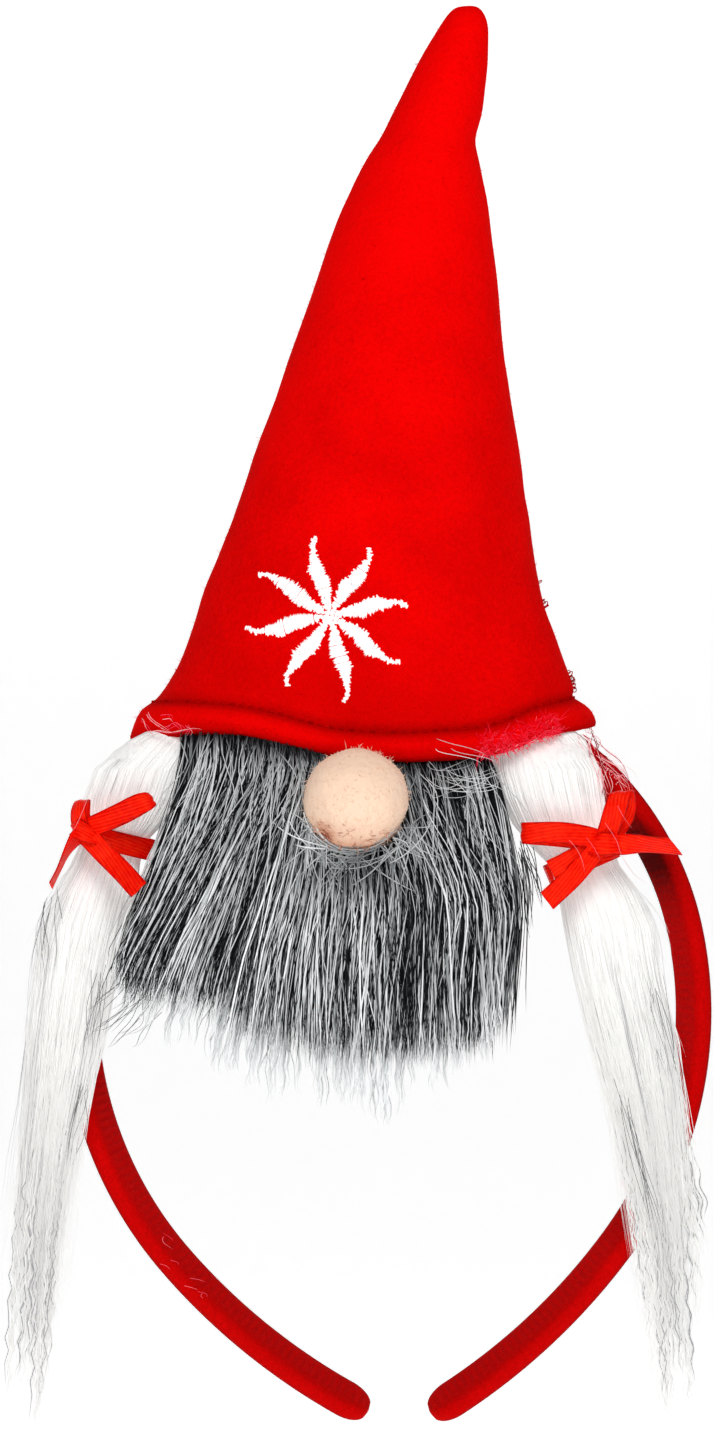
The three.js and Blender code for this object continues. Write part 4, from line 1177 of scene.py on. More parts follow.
def bundle(node, puff):
    """Heights down a pigtail's solid, with its middle and half sizes there.

    puff has rows of depth below the origin and how far the hair bulges further to the left and to the right.
    """
    low, high = box_of(node)
    heights = np.arange(high[2] - 0.5, low[2] + 0.5, -LEVEL_STEP)
    rows = sections(node, heights)
    middle, half = (rows[:, :2] + rows[:, 2:]) / 2, (rows[:, 2:] - rows[:, :2]) / 2
    # Two rounds of averaging take the steps of the locks out of the ovals.
    kernel = np.ones(3) / 3
    for table in (middle, half) * 2:
        for column in range(2):
            table[1:-1, column] = np.convolve(table[:, column], kernel, "valid")
    depth, left, right = np.array(puff, float).T
    left, right = np.interp(-heights, depth, left), np.interp(-heights, depth, right)
    middle[:, 0] += (right - left) / 2
    half[:, 0] += (right + left) / 2
    return heights, middle, np.maximum(half, TIP_LEAST)


def in_bundle(shape, spots, z):
    """Points at heights z (strand, step) for places in the unit circle (strand, step, 2)."""
    heights, middle, half = shape
    x, y = (np.interp(-z, -heights, middle[:, i]) + np.interp(-z, -heights, half[:, i]) * spots[..., i]
            for i in range(2))
    return np.stack([x, y, z], -1)


def core_of(shape, share, sides=24):
    """A closed body through the ovals of a bundle, at a share of their size."""
    heights, middle, half = shape
    last = int(len(heights) * CORE_REACH)
    turns = np.linspace(0, 2 * math.pi, sides, endpoint=False)
    thinner = (1 - CORE_THINS * ease(np.arange(last), last * 0.55, last))[:, None, None]
    size = half[:last, None] * share * thinner
    ring = middle[:last, None] + size * np.stack([np.cos(turns), np.sin(turns)], -1)
    points = np.concatenate([ring, np.broadcast_to(heights[:last, None, None], (last, sides, 1))], -1)
    points = np.concatenate([points.reshape(-1, 3), [points[0].mean(0), points[-1].mean(0)]])
    points = under_hem(points)
    at, after = np.arange(sides), (np.arange(sides) + 1) % sides
    step = (np.arange(last - 1) * sides)[:, None]
    quads = np.stack([at + step, at + step + sides, after + step + sides, after + step], -1).reshape(-1, 4)
    triangles = [quads[:, :3], quads[:, [0, 2, 3]]]
    top, end = last * sides, last * sides + 1
    triangles.append(np.stack([at, after, np.full(sides, top)], -1))
    triangles.append(np.stack([after + step[-1] + sides, at + step[-1] + sides, np.full(sides, end)], -1))
    return points, np.concatenate(triangles)


# %% [markdown]
# A hair of the pigtail is a place in the unit circle that changes a little on its way down: it is drawn
# into its lock, towards the middle, and wanders. One in eight turns grey below the ribbon.
# %% Pigtail hairs
PIGTAIL_HAIRS = 1100
PIGTAIL_THICK = 0.17
PIGTAIL_LOCKS = 26
LEAST_OUT, MORE_OUT = 0.86, 0.16
LEAST_FALL, MORE_FALL = 0.56, 0.4
GREY_SHARE, GREY_DARKER = 0.12, 0.42
CORE_SHARE = 0.9
LOCK_PULL, INWARD_PULL = 0.75, 0.85
HAIR_SWAY, HAIR_SCATTER = 0.16, 1.6
FALL_STEPS = np.array([0, 0.03, 0.06, 0.1, 0.14, 0.175, 0.205, 0.235, 0.27, 0.32, 0.4, 0.52, 0.67, 0.84, 1])


def pigtail(name, puff, seed):
    """The hairs of a pigtail and its soft core. Returns its ovals."""
    chance = np.random.default_rng(seed)
    shape = bundle(name, puff)
    heights = shape[0]
    count, steps = PIGTAIL_HAIRS, len(FALL_STEPS)
    around, out = chance.uniform(0, 2 * math.pi, count), chance.uniform(0, 1, count) ** 0.35
    spots = np.stack([np.cos(around), np.sin(around)], -1) * (LEAST_OUT + MORE_OUT * out[:, None])
    share = LEAST_FALL + MORE_FALL * chance.beta(2.6, 2, count)
    t = FALL_STEPS
    reach = heights[0] - heights[-1]
    fall = reach * (t[None] + (share[:, None] - 1) * ease(t, 0.25, 1.0) * t[None])
    path = np.repeat(spots[:, None], steps, 1)
    locks = chance.choice(count, PIGTAIL_LOCKS, replace=False)
    lock = spots[locks][nearest(spots, spots[locks])]
    pull = LOCK_PULL * ease(t, 0.4, 1.0)[None, :, None]
    path = path + (lock[:, None] - path) * pull
    path = path * (1 - chance.uniform(0, INWARD_PULL, (count, 1, 1)) * ease(t, 0.45, 0.95)[None, :, None])
    path = path + wander(count, steps, HAIR_SWAY, chance)[..., :2] * ease(t, 0.28, 0.6)[None, :, None]
    lines = in_bundle(shape, path, heights[0] - fall)
    lines[..., :2] += chance.normal(0, HAIR_SCATTER, (count, 2))[:, None] * ease(t, 0.5, 1.0)[None, :, None]
    lines = under_hem(lines)
    grey = (chance.uniform(0, 1, count) < GREY_SHARE)[:, None] * ease(t, 0.2, 0.5)
    tone = chance.uniform(0.76, 0.96, (count, 1)) - GREY_DARKER * grey
    thick = taper(count, steps, PIGTAIL_THICK, 0.12, chance)
    strand_piece(name + "_hair", lines, thick, tone, white_hair, chance, [name])
    points, faces = core_of(shape, CORE_SHARE)
    piece(name + "_core", points, faces, hair_core, [name])
    return shape


LEFT_PUFF = [(0, 1, 2), (12, 1.2, 2.4), (19, 0.2, 3.6), (25, 0, 4.2), (28, 0, 3.2), (31, 0, 1), (34, 0, 0)]
RIGHT_PUFF = [(0, 3, 2), (10, 3.2, 1.5), (19, 3.4, 0), (25, 4, 0), (30, 4.5, 0), (34, 3, 0), (38, 0, 0)]
left_bundle = pigtail("pigtail_left", LEFT_PUFF, 9)
right_bundle = pigtail("pigtail_right", RIGHT_PUFF, 10)

# %% [markdown]
# The lower part of each pigtail opens into single wavy locks of uneven length. Their tips were read off
# the picture, as places across and depths below the origin.
# %% Pigtail locks
LEFT_TIPS = [(-81.4, 156), (-80.1, 144), (-78.8, 153.5), (-77.9, 131), (-77.2, 140), (-76.6, 149),
             (-75.9, 162), (-75.2, 164), (-74.3, 161), (-73.4, 156), (-72.6, 151), (-71.7, 143), (-71, 133),
             (-69.9, 121)]
RIGHT_TIPS = [(59, 131), (60.8, 142), (61.7, 152), (62.8, 147), (64.1, 162), (65.2, 163.5), (66.1, 161),
              (67, 153.5), (68.3, 149), (69.7, 160), (70.1, 159), (71, 140), (71.7, 131), (72.3, 122)]
OPEN_FROM, OPEN_SPREAD = 92, (-8, 10)
OPEN_RAGGED, OPEN_DEEP = 9, 3
OPEN_HAIRS = 10
OPEN_STEPS = 22
OPEN_THICK, OPEN_SWAY = 0.15, 0.35
OPEN_WAVE, OPEN_WAVE_LONG = 0.5, 7
OPEN_GREY = 0.2


def open_locks(shape, tips, chance):
    """Wavy hairs from the middle of a pigtail's fall to each of its tips."""
    heights, middle, half = shape
    tip_x, depth = (for_locks(column, OPEN_HAIRS) for column in np.array(tips, float).T)
    count = len(tip_x)
    t = np.linspace(0, 1, OPEN_STEPS)
    start = OPEN_FROM + chance.uniform(*OPEN_SPREAD, (count, 1))
    z = -(start + (depth - chance.uniform(0, OPEN_RAGGED, (count, 1)) ** 1.2 - start) * t)
    rank = for_locks(np.linspace(-0.85, 0.85, len(tips)), OPEN_HAIRS)
    root_x = np.interp(start, -heights, middle[:, 0]) + np.interp(start, -heights, half[:, 0]) * rank
    x = root_x + (tip_x - root_x) * t**0.8 + chance.normal(0, 1, (count, 1)) * (0.9 - 0.5 * t)
    phase = for_locks(chance.uniform(0, 2 * math.pi, len(tips)), OPEN_HAIRS)
    phase = phase + chance.normal(0, 0.5, (count, 1))
    wave = OPEN_WAVE * np.sin(z * 2 * math.pi / OPEN_WAVE_LONG + phase) * ease(t, 0.1, 0.5)
    deep = for_locks(chance.uniform(-OPEN_DEEP, OPEN_DEEP, len(tips)), OPEN_HAIRS)
    y = np.interp(-z, -heights, middle[:, 1]) + deep
    lines = np.stack([x + wave, y + chance.normal(0, 0.5, (count, 1)), z], -1)
    return lines + wander(count, OPEN_STEPS, OPEN_SWAY, chance)


opened = [("left", left_bundle, LEFT_TIPS, 14), ("right", right_bundle, RIGHT_TIPS, 15)]
for name, shape, tips, seed in opened:
    chance = np.random.default_rng(seed)
    lines = open_locks(shape, tips, chance)
    tone = np.where(chance.uniform(0, 1, (len(lines), 1)) < OPEN_GREY, 0.35, 1)
    tone = tone * chance.uniform(0.85, 1, (len(lines), OPEN_STEPS))
    thick = taper(len(lines), OPEN_STEPS, OPEN_THICK, 0.4, chance, 0.8)
    strand_piece(f"pigtail_{name}_locks", lines, thick, tone, white_hair, chance)

# %% [markdown]
# ## The bows
# Each bow is a narrow satin ribbon with a fine slanting twill. A turn of it pinches the hair, and out of a
# knot come two flat loops and two tails. A ribbon is made as a route that its middle takes and the way its
# width points at each place along it, which is how a hand would lay it. The routes were read off the
# picture of each bow.
# %% Ribbon finish
RIBBON_WIDE = 4.7
TWILL_PITCH = 0.75

RIBBON_RED = [(0, (0.4, 0.0005, 0.0004)), (0.25, (0.74, 0.001, 0.0006)), (0.5, (0.95, 0.005, 0.001)),
              (0.8, (1, 0.025, 0.003))]

# Painted light: the ribbon glows a little in its own red.
satin, start = finish("satin_ribbon", Roughness=0.38, Emission_Strength=0.1, Specular_IOR_Level=0.3,
                      Specular_Tint=(1, 0.3, 0.1, 1))
along, across = tone_of(start, "along"), tone_of(start, "across")
slant = across + along * 0.14
twill = start.node("Math", {"operation": "SINE"}, {0: slant * (2 * math.pi / TWILL_PITCH)}) * 0.5 + 0.5
uneven = grain(start, 0.7, 3)
# Painted shade: the colour darkens towards both edges, along the ribbon's outline.
middle_share = across * across * (4 / RIBBON_WIDE**2)
edge = middle_share * middle_share * middle_share * middle_share
satin_shade = ramp(start, twill * 0.25 + uneven * 0.65 + 0.05 - edge * 0.45, RIBBON_RED)
feed(satin, Base_Color=satin_shade, Emission_Color=satin_shade, Roughness=uneven * 0.25 + 0.28,
     Normal=raised(start, twill + uneven, 0.12))

# %% [markdown]
# A ribbon's few rows become a smooth curve with even steps. At each step a line of points across it, turned
# and leant as the rows say, gives its middle surface, and two surfaces a little in front of and behind that
# close it.
# %% Ribbon helper
RIBBON_THICK = 0.4
RIBBON_STEP = 0.35
RIBBON_ACROSS = 9
CURVE_STEPS = 24
CREASE_TURNS = 5.5
EDGE_THIN = 0.55


def smooth_rows(rows, step):
    """A smooth curve through rows of numbers whose first three are a place, evenly stepped."""
    rows = np.asarray(rows, float)
    padded = np.concatenate([[2 * rows[0] - rows[1]], rows, [2 * rows[-1] - rows[-2]]])
    t = np.linspace(0, 1, CURVE_STEPS, endpoint=False)[:, None]
    spans = []
    for a, b, c, d in zip(padded, padded[1:], padded[2:], padded[3:]):
        square, cube = 2 * a - 5 * b + 4 * c - d, 3 * b - a - 3 * c + d
        spans.append(0.5 * (2 * b + (c - a) * t + square * t**2 + cube * t**3))
    fine = np.concatenate([*spans, rows[-1:]])
    run = np.r_[0, np.cumsum(np.linalg.norm(np.diff(fine[:, :3], axis=0), axis=1))]
    even = np.linspace(0, run[-1], max(int(run[-1] / step), 8))
    return np.stack([np.interp(even, run, column) for column in fine.T], -1), even


def ribbon(rows, cut=0.0, ruck=0.0):
    """A ribbon's points, faces, and its along and across numbers.

    A row is x, depth to the front and z in millimetres, the turn of its width in the front view and that
    width's lean to the front in degrees, and its width as a share, 1 where the row leaves it out. cut is how
    much longer one edge is than the other, and ruck how deep its creases are.
    """
    route, run = smooth_rows([(*row, 1)[:6] for row in rows], RIBBON_STEP)
    columns = np.linspace(-1, 1, RIBBON_ACROSS)
    grid = []
    for side in columns:
        at = run * (1 - cut * (1 + side) / 2 / run[-1])
        row = np.stack([np.interp(at, run, column) for column in route.T], -1)
        turn, lean = np.radians(row[:, 3]), np.radians(row[:, 4])
        wide = np.stack([np.cos(turn) * np.cos(lean), -np.sin(lean), np.sin(turn) * np.cos(lean)], -1)
        middle = np.stack([row[:, 0], -row[:, 1], row[:, 2]], -1)
        grid.append(middle + wide * (side * RIBBON_WIDE / 2 * row[:, 5:6]))
    grid = np.stack(grid, 1)
    along = unit(np.gradient(grid, axis=0))
    wide = unit(grid[:, -1:] - grid[:, :1])
    out = unit(np.cross(along, wide))
    crease = ruck * np.sin(columns * CREASE_TURNS)[None, :, None]
    edge = (RIBBON_THICK / 2 * (1 - EDGE_THIN * np.abs(columns) ** 6))[None, :, None]
    points, faces = closed_sheet(grid + out * (crease + edge), grid + out * (crease - edge))
    along_mm = np.tile(np.repeat(run, len(columns)), 2)
    across_mm = np.tile(np.tile(columns * RIBBON_WIDE / 2, len(run)), 2)
    return points, faces, along_mm, across_mm


def bow(name, node, knot, ribbons):
    """One piece of several ribbons, laid from a knot. Each ribbon is its rows, its cut and its ruck."""
    points, faces, along, across, total = [], [], [], [], 0
    for rows, cut, ruck in ribbons:
        p, f, a, c = ribbon(rows, cut, ruck)
        points.append(p + knot)
        faces.append(f + total)
        along.append(a)
        across.append(c)
        total += len(p)
    made = piece(name, np.concatenate(points), np.concatenate(faces), satin, [node])
    mark(made, "along", np.concatenate(along))
    mark(made, "across", np.concatenate(across))


# %% [markdown]
# The left bow: a long loop to the upper right, a small one seen from inside at the upper left, one tail
# across the hair to the lower right and one edge-on down the left side.
# %% Left bow
def round_hair(shape, height, slope, knot, turns, grow=0.9):
    """A turn of ribbon round a pigtail at a height, tilted by a slope to the right, as ribbon rows."""
    heights, middle, half = shape
    x_middle, y_middle = (np.interp(-height, -heights, column) for column in middle.T)
    x_half, y_half = (np.interp(-height, -heights, column) + grow for column in half.T)
    rows = []
    for turn in turns:
        x = x_middle + x_half * math.sin(math.radians(turn))
        y = y_middle - y_half * math.cos(math.radians(turn))
        z = height + (x - knot[0]) * slope
        rows.append((x - knot[0], -(y - knot[1]), z - knot[2], 90 + math.degrees(math.atan(slope)), 0))
    return rows


WRAP_TURNS = list(range(-70, 300, 20))
LEFT_KNOT = np.array([-64.2, -24.0, -29.0])
left_ribbons = [
    # The turn round the hair.
    (round_hair(left_bundle, -29.8, -0.24, LEFT_KNOT, WRAP_TURNS, 1.2), 0, 0.2),
    # The long loop to the upper right.
    ([(0, 0.6, 0, 116, 0), (3, 1.6, 1.2, 115, 0), (8, 4.0, 3.6, 115, 0), (12, 6.5, 5.6, 116, 0),
      (14.4, 6.8, 6.6, 118, 0, 0.9), (15.5, 5.4, 7, 120, 0, 0.62), (14.4, 3.6, 6.5, 118, 0, 0.85),
      (9, 0, 3.8, 115, 0), (2, -0.8, 0.8, 115, 0)], 0, 0.12),
    # The small loop at the upper left.
    ([(0.2, 0.4, 0, 20, 10, 0.9), (-0.6, 1.5, 1.8, 12, 20, 0.85), (-0.8, 2.3, 4.2, 4, 30, 0.85),
      (-0.4, 1.7, 6.1, 4, 34, 0.8), (0.2, 0.4, 6.6, 2, 34, 0.8), (0, -0.9, 5.6, 6, 30, 0.85),
      (-0.2, -1, 3, 10, 20, 0.85), (0, -0.4, 0.5, 20, 10, 0.85)], 0, 0.1),
    # The tail to the lower right.
    ([(0, 1.0, 0, 40, 0), (2.2, 1.8, -2.2, 43, 0), (5.5, 2.6, -5.6, 45, 5), (9, 5.5, -9, 46, 5),
      (12.6, 9.5, -12.8, 46, 0)], -2.6, 0.1),
    # The tail down the left side, edge on.
    ([(0, 0.5, -0.4, 140, 30), (-1.9, 0.8, -2.4, 140, 55), (-3.6, 0.4, -5.1, 145, 72),
      (-5.2, 0.2, -8.6, 150, 78), (-7.2, 0.4, -12.6, 155, 76)], 1.2, 0),
    # The knot.
    ([(-2.2, 1.2, 0.6, 80, 0, 0.8), (-1.2, 2.4, 0.4, 85, 0, 0.95), (0.6, 2.9, -0.2, 95, 0, 1),
      (2.2, 2.4, -0.8, 100, 0, 0.95), (3, 1.1, -1.2, 105, 0, 0.85)], 0, 0.42),
]
bow("bow_left_ribbon", "bow_left", LEFT_KNOT, left_ribbons)

# %% [markdown]
# The right bow: a flat loop to the left, one standing up to the right, a pointed tail to the right and a
# broad one down to the left, over the end of the turn that pinches the hair.
# %% Right bow
RIGHT_KNOT = np.array([50.1, -24.6, -31.4])
wrapped = bundle("pigtail_right", [(0, 0, 0), (40, 0, 0)])
right_ribbons = [
    # The turn round the hair.
    (round_hair(wrapped, -34.0, 0.42, RIGHT_KNOT, WRAP_TURNS[1:]), 0, 0),
    # The end of the turn, under the left loop.
    ([(0, 0.4, -0.4, 119, 0), (-4, 1.0, -2.4, 119, 0), (-8, 1.2, -4.6, 119, 0), (-11.5, 1.6, -6.3, 117, 0)],
     0, 0.1),
    # The flat loop to the left.
    ([(0, 0.6, 0, 80, 0), (-4, 2.0, 1.2, 84, 0), (-9, 3.4, 2, 89, 0), (-15, 3.6, 2, 89, 0),
      (-17.2, 2.8, 1.9, 89, 0), (-17.8, 1.6, 1.9, 89, 0), (-17, 0.8, 1.8, 88, 0), (-10, -0.2, 1.2, 86, 0),
      (-2, -0.8, 0.3, 84, 0)], 0, 0.12),
    # The loop that stands up to the right.
    ([(0.2, 0.6, 0, -20, 0), (1.4, 2.2, 3.4, -12, -8), (2.6, 3.4, 7.2, -4, -14, 1.1),
      (3.6, 2.8, 10, 2, -16, 1.15), (4.2, 1.4, 10.9, 4, -16, 1.15), (5, -0.2, 9.4, -8, -10),
      (4.6, -1.2, 5.6, -30, 0), (1.4, -0.8, 1, -40, 0)], 0, 0.12),
    # The broad tail down to the left.
    ([(0, 1.0, -0.6, 125, 0), (-3.4, 1.8, -4.0, 130, 0), (-7, 1.6, -8.0, 133, 0),
      (-12.6, 2.6, -13.2, 135, 0)], 0.6, 0.1),
    # The pointed tail to the right.
    ([(0, 0.6, -0.6, 95, 0), (4, 1.5, -0.6, 92, 5), (7, 1.7, -0.5, 90, 25), (10, 1.8, -0.6, 90, 40),
      (17.6, 2.4, -1.2, 84, 42)], 3.4, 0),
    # The knot.
    ([(-3, 1.2, -0.9, 70, 0, 0.85), (-1.6, 2.4, -0.6, 80, 0, 1), (0.4, 2.9, -0.4, 90, 0, 1.1),
      (2.4, 2.4, -0.2, 95, 0, 1), (3.6, 1.1, 0, 100, 0, 0.85)], 0, 0.42),
]
bow("bow_right_ribbon", "bow_right", RIGHT_KNOT, right_ribbons)

# %% [markdown]
# ## The hairband
# A springy strip of plastic is sleeved in red velvet, and teeth on its inner face show through as fine
# ribs. The sleeve is swept again along the arcs of the solid, with enough steps for the ribs.
# %% Velvet finish
VELVET_RED = [(0.05, (0.08, 0.0002, 0.0002)), (0.3, (0.32, 0.0004, 0.0004)), (0.6, (0.64, 0.0006, 0.0006)),
              (0.85, (0.92, 0.001, 0.0008))]

velvet, start = finish("band_velvet", Roughness=0.85, Specular_IOR_Level=0.03, Sheen_Weight=0.05,
                       Sheen_Roughness=0.4, Sheen_Tint=(1, 0.03, 0.02, 1))
pile = grain(start, 1.4, 4)
velvet_shade = ramp(start, pile * 0.3 + tone_of(start, "light") * 0.7, VELVET_RED)
feed(velvet, Base_Color=velvet_shade, Normal=raised(start, pile, 0.25))

# %% [markdown]
# From its crown the strip runs down each side along three arcs, the last one nearly straight. Its section,
# flat with round edges, is rolled a little to the back, and the whole ring leans slightly. The velvet's light
# and shade are painted into its colour: darkest along its outline, where it turns edge-on to the front, a
# little darker on its inner side and between the ribs, lighter on their crests, and shaded behind the right
# bow.
# %% Band
BAND_WIDE, BAND_THICK = 12, 4.2
BAND_ROLL = math.radians(27)
BAND_LEAN = math.radians(2.3)
BAND_ARCS = [(67.8, math.radians(79.4)), (86.5, math.radians(49)), (141, math.inf)]
BAND_REACH = 224
BAND_SHIFT = 1
END_FLATTEST = 0.0004
RIB_PITCH, RIB_DEEP = 1.9, 0.2
RIB_STEPS = 5
VELVET_LIGHT, OUTLINE_SHADE, INNER_DARK = 0.57, 0.34, 0.04
RIB_LIGHT, BOW_SHADE = 0.07, 0.75
BOW_HEIGHT, BOW_REACH = -34, 9


def band_line(distance):
    """Middle places and outward directions of the strip, as x and z, at distances from its crown."""
    left = np.abs(distance)
    side = np.where(distance < 0, -1, 1)
    x, heading = np.zeros(len(left)), np.zeros(len(left))
    z = np.full(len(left), BAND_THICK / 2 / math.cos(BAND_ROLL))
    for radius, turn in BAND_ARCS:
        end = heading + np.minimum(turn, left / radius)
        x = x + radius * (np.sin(end) - np.sin(heading))
        z = z + radius * (np.cos(end) - np.cos(heading))
        left = left - radius * (end - heading)
        heading = end
    return np.stack([x * side, z], -1), np.stack([np.sin(heading) * side, np.cos(heading)], -1)


def strip_section():
    """Points round the strip's section, as shares: across its flat, along its round edges, and through."""
    flat, arc = np.linspace(-1, 1, 5), np.linspace(0, math.pi, 6)[1:-1]
    outer = [(f, 0, 1) for f in flat[::-1]]
    left = [(-1, -math.sin(a), math.cos(a)) for a in arc]
    inner = [(f, 0, -1) for f in flat]
    right = [(1, math.sin(a), -math.cos(a)) for a in arc]
    return np.array(outer + left + inner + right)


def band():
    """Points and quads of the velvet sleeve, and how light the velvet looks at each point."""
    rings = int(2 * BAND_REACH / RIB_PITCH * RIB_STEPS)
    distance = np.linspace(-BAND_REACH, BAND_REACH, rings)
    at, out = band_line(distance + BAND_SHIFT)
    to_end = BAND_REACH - np.abs(distance)
    inwards = np.clip(to_end / (BAND_WIDE / 2), 0, 1)[:, None]
    shrink = np.sqrt(np.clip(1 - (1 - inwards) ** 2, END_FLATTEST, 1))
    flat, edge, through = strip_section().T
    half = BAND_THICK / 2 * np.sqrt(shrink)
    across = (BAND_WIDE - BAND_THICK) / 2 * shrink * flat + half * edge
    on_inner_face = (through < -0.9) * (np.abs(flat) < 0.9)
    rib = RIB_DEEP * np.cos(distance * 2 * math.pi / RIB_PITCH)[:, None] * on_inner_face
    deep = half * through + rib * (shrink > 0.98)
    outwards = across * math.sin(BAND_ROLL) + deep * math.cos(BAND_ROLL)
    back = deep * math.sin(BAND_ROLL) - across * math.cos(BAND_ROLL)
    x, z = (at[:, i:i + 1] + out[:, i:i + 1] * outwards for i in (0, 1))
    lean_cos, lean_sin = math.cos(BAND_LEAN), math.sin(BAND_LEAN)
    points = np.stack([x * lean_cos - z * lean_sin, back, x * lean_sin + z * lean_cos], -1)
    sides = len(flat)
    number = np.arange(rings * sides).reshape(rings, sides)
    after = np.roll(number, -1, axis=1)
    quads = np.stack([number[:-1], number[1:], after[1:], after[:-1]], -1).reshape(-1, 4)
    facing = edge * math.sin(BAND_ROLL) + through * math.cos(BAND_ROLL)
    # Painted shade along the outline seen from the front, on the inner side and behind the right bow, and
    # painted light on the rib crests.
    light = VELVET_LIGHT - OUTLINE_SHADE * ease(np.abs(facing), 0.86, 0.98)
    light = light - INNER_DARK * ease(-facing, 0.5, 0.8) + RIB_LIGHT * rib / RIB_DEEP
    behind_bow = np.exp(-(((points[..., 2] - BOW_HEIGHT) / BOW_REACH) ** 2))
    behind_bow = behind_bow * (points[..., 0] > 0) * (1 - facing) / 2
    return points.reshape(-1, 3), quads, light - BOW_SHADE * behind_bow


points, faces, light = band()
strip = piece("band_sleeve", points, faces, velvet, ["headband"])
mark(strip, "light", light)

# %% [markdown]
# ## Stray hairs over other parts
# Hair strays where it likes: pink curls cling to the left of the hem, a crimson fuzz of felt and hair hides
# its right, a tangle lies over the band, and single pale hairs cross the bows. Most of these are routes as
# seen from the front, in millimetres, with a depth to the front. Copies of a route stray from it a little.
# %% Wisp helpers
FUZZ_DARK, FUZZ_DEEP = (0.14, 0.0, 0.004), (0.88, 0.0005, 0.012)
FUZZ_PINK, FUZZ_PALE = (0.95, 0.06, 0.12), (0.95, 0.75, 0.74)

# Painted light: the tinted hairs glow a little in their own colour.
fuzz, start = finish("tinted_hair", Roughness=0.7, Specular_IOR_Level=0.02, Emission_Strength=0.2)
fuzz_shade = ramp(start, tone_of(start),
                  [(0, FUZZ_DARK), (0.25, FUZZ_DEEP), (0.6, FUZZ_PINK), (1, FUZZ_PALE)])
feed(fuzz, Base_Color=fuzz_shade, Emission_Color=fuzz_shade)


LOOSE_SLACK, LOOSE_STEP = 0.2, 0.4


def loose(routes, copies, scatter, chance, steps=12):
    """Hairs along routes, whose rows are x, depth to the front and z. Copies start and end at random."""
    lines = []
    slack = LOOSE_SLACK if copies > 1 else 0
    for route in routes:
        curve, run = smooth_rows(route, LOOSE_STEP)
        for _ in range(copies):
            part = np.linspace(chance.uniform(0, slack), 1 - chance.uniform(0, slack), steps) * run[-1]
            line = np.stack([np.interp(part, run, column) for column in curve.T], -1)
            lines.append(line * [1, -1, 1] + chance.normal(0, scatter, 3))
    lines = np.array(lines)
    return lines + wander(len(lines), steps, scatter, chance)


def wisps(name, lines, thick, tones, material, chance):
    """A piece of loose hairs with one tone each, between two tones."""
    tone = one_tone(lines, tones, chance)
    strand_piece(name, lines, taper(len(lines), lines.shape[1], thick, 0.3), tone, material, chance)


# %% [markdown]
# The fuzz on the right of the hem is thick and short, so it is scattered like a nap. The few curls on the
# left and the grey hairs on the felt right of the nose are routes.
# %% Wisps on the hem
FUZZ_CURLS = 1100
FUZZ_TURNS = (28, 56)
FUZZ_RISE, FUZZ_LEAST = 4.5, 0.4
FUZZ_LONG, FUZZ_STEPS, FUZZ_THICK = 1.25, 7, 0.07


def hem_fuzz(chance):
    """Curls out of the lower edge of the hem on the right, crimson at the felt and pale outside."""
    turns = chance.uniform(*FUZZ_TURNS, FUZZ_CURLS)
    rises = FUZZ_RISE * chance.uniform(0, 1, FUZZ_CURLS) ** 1.5 + FUZZ_LEAST
    spots = [on_hat(turn, rise) for turn, rise in zip(turns, rises)]
    places, outward = (np.array(part) for part in zip(*spots))
    down = unit(outward + [0, 0, -1.1])
    lines = nap(places, down, FUZZ_LONG, 0.9, 0.9, FUZZ_STEPS, chance)
    pale = chance.uniform(0, 0.9, (FUZZ_CURLS, 1)) ** 6 + 0.35 * (1 - ease(rises, 0.4, 2.4))[:, None]
    tone = chance.uniform(0.2, 0.38, (FUZZ_CURLS, 1)) + pale * np.linspace(0, 1, FUZZ_STEPS)
    return lines, np.clip(tone, 0, 1)


chance = np.random.default_rng(12)
lines, tone = hem_fuzz(chance)
thick = taper(len(lines), FUZZ_STEPS, FUZZ_THICK, 0.2, chance)
strand_piece("hem_fuzz", lines, thick, tone, fuzz, chance)

hem_curls = [
    [(-50.6, 15, -2.2), (-49.9, 16, -3.8), (-49.0, 17, -4.9), (-47.9, 18, -5.8), (-46.3, 19, -6.9),
     (-44.3, 20, -7.8)],
    [(-46.6, 18, -3.8), (-45.4, 18.5, -3.6), (-44.3, 19, -3.8), (-43.4, 19.5, -4.9)],
    [(-51.7, 14, -5.1), (-50.8, 15, -6.0), (-50.1, 15.5, -7.1), (-49.4, 16, -8.0)],
    [(-46.8, 19, -6.9), (-45.2, 20, -6.4), (-43.9, 20.5, -5.6), (-42.8, 21, -6.2), (-41.9, 21.5, -7.6),
     (-41.7, 22, -8.7)],
    [(-41.9, 21, -5.6), (-41.0, 21.5, -6.2), (-40.8, 22, -7.1), (-41.9, 22, -8.0)],
    [(-49.9, 16, -8.0), (-47.0, 19, -7.6), (-44.1, 21, -8.0), (-39.7, 23.5, -7.1), (-37.4, 25, -7.6)],
]
hem_hairs = [
    [(14.1, 31, -13.1), (16.8, 33, -14.2), (19.9, 33.5, -15.1), (23.0, 33, -16.4), (25.2, 31, -18.2)],
    [(12.3, 33, -15.3), (15.9, 34, -17.6), (19.4, 34, -18.2), (22.6, 33, -16.9), (24.8, 31, -14.7)],
    [(13.7, 34, -18.2), (17.2, 34.5, -19.1), (20.8, 34, -18.9), (23.9, 33, -17.8), (26.1, 31, -16.0),
     (27.4, 30, -13.8)],
]
wisps("hem_curls", loose(hem_curls, 3, 0.45, chance), 0.07, (0.45, 0.9), fuzz, chance)
wisps("hem_hairs", loose(hem_hairs, 6, 1.9, chance), 0.07, (0.7, 0.95), fur, chance)

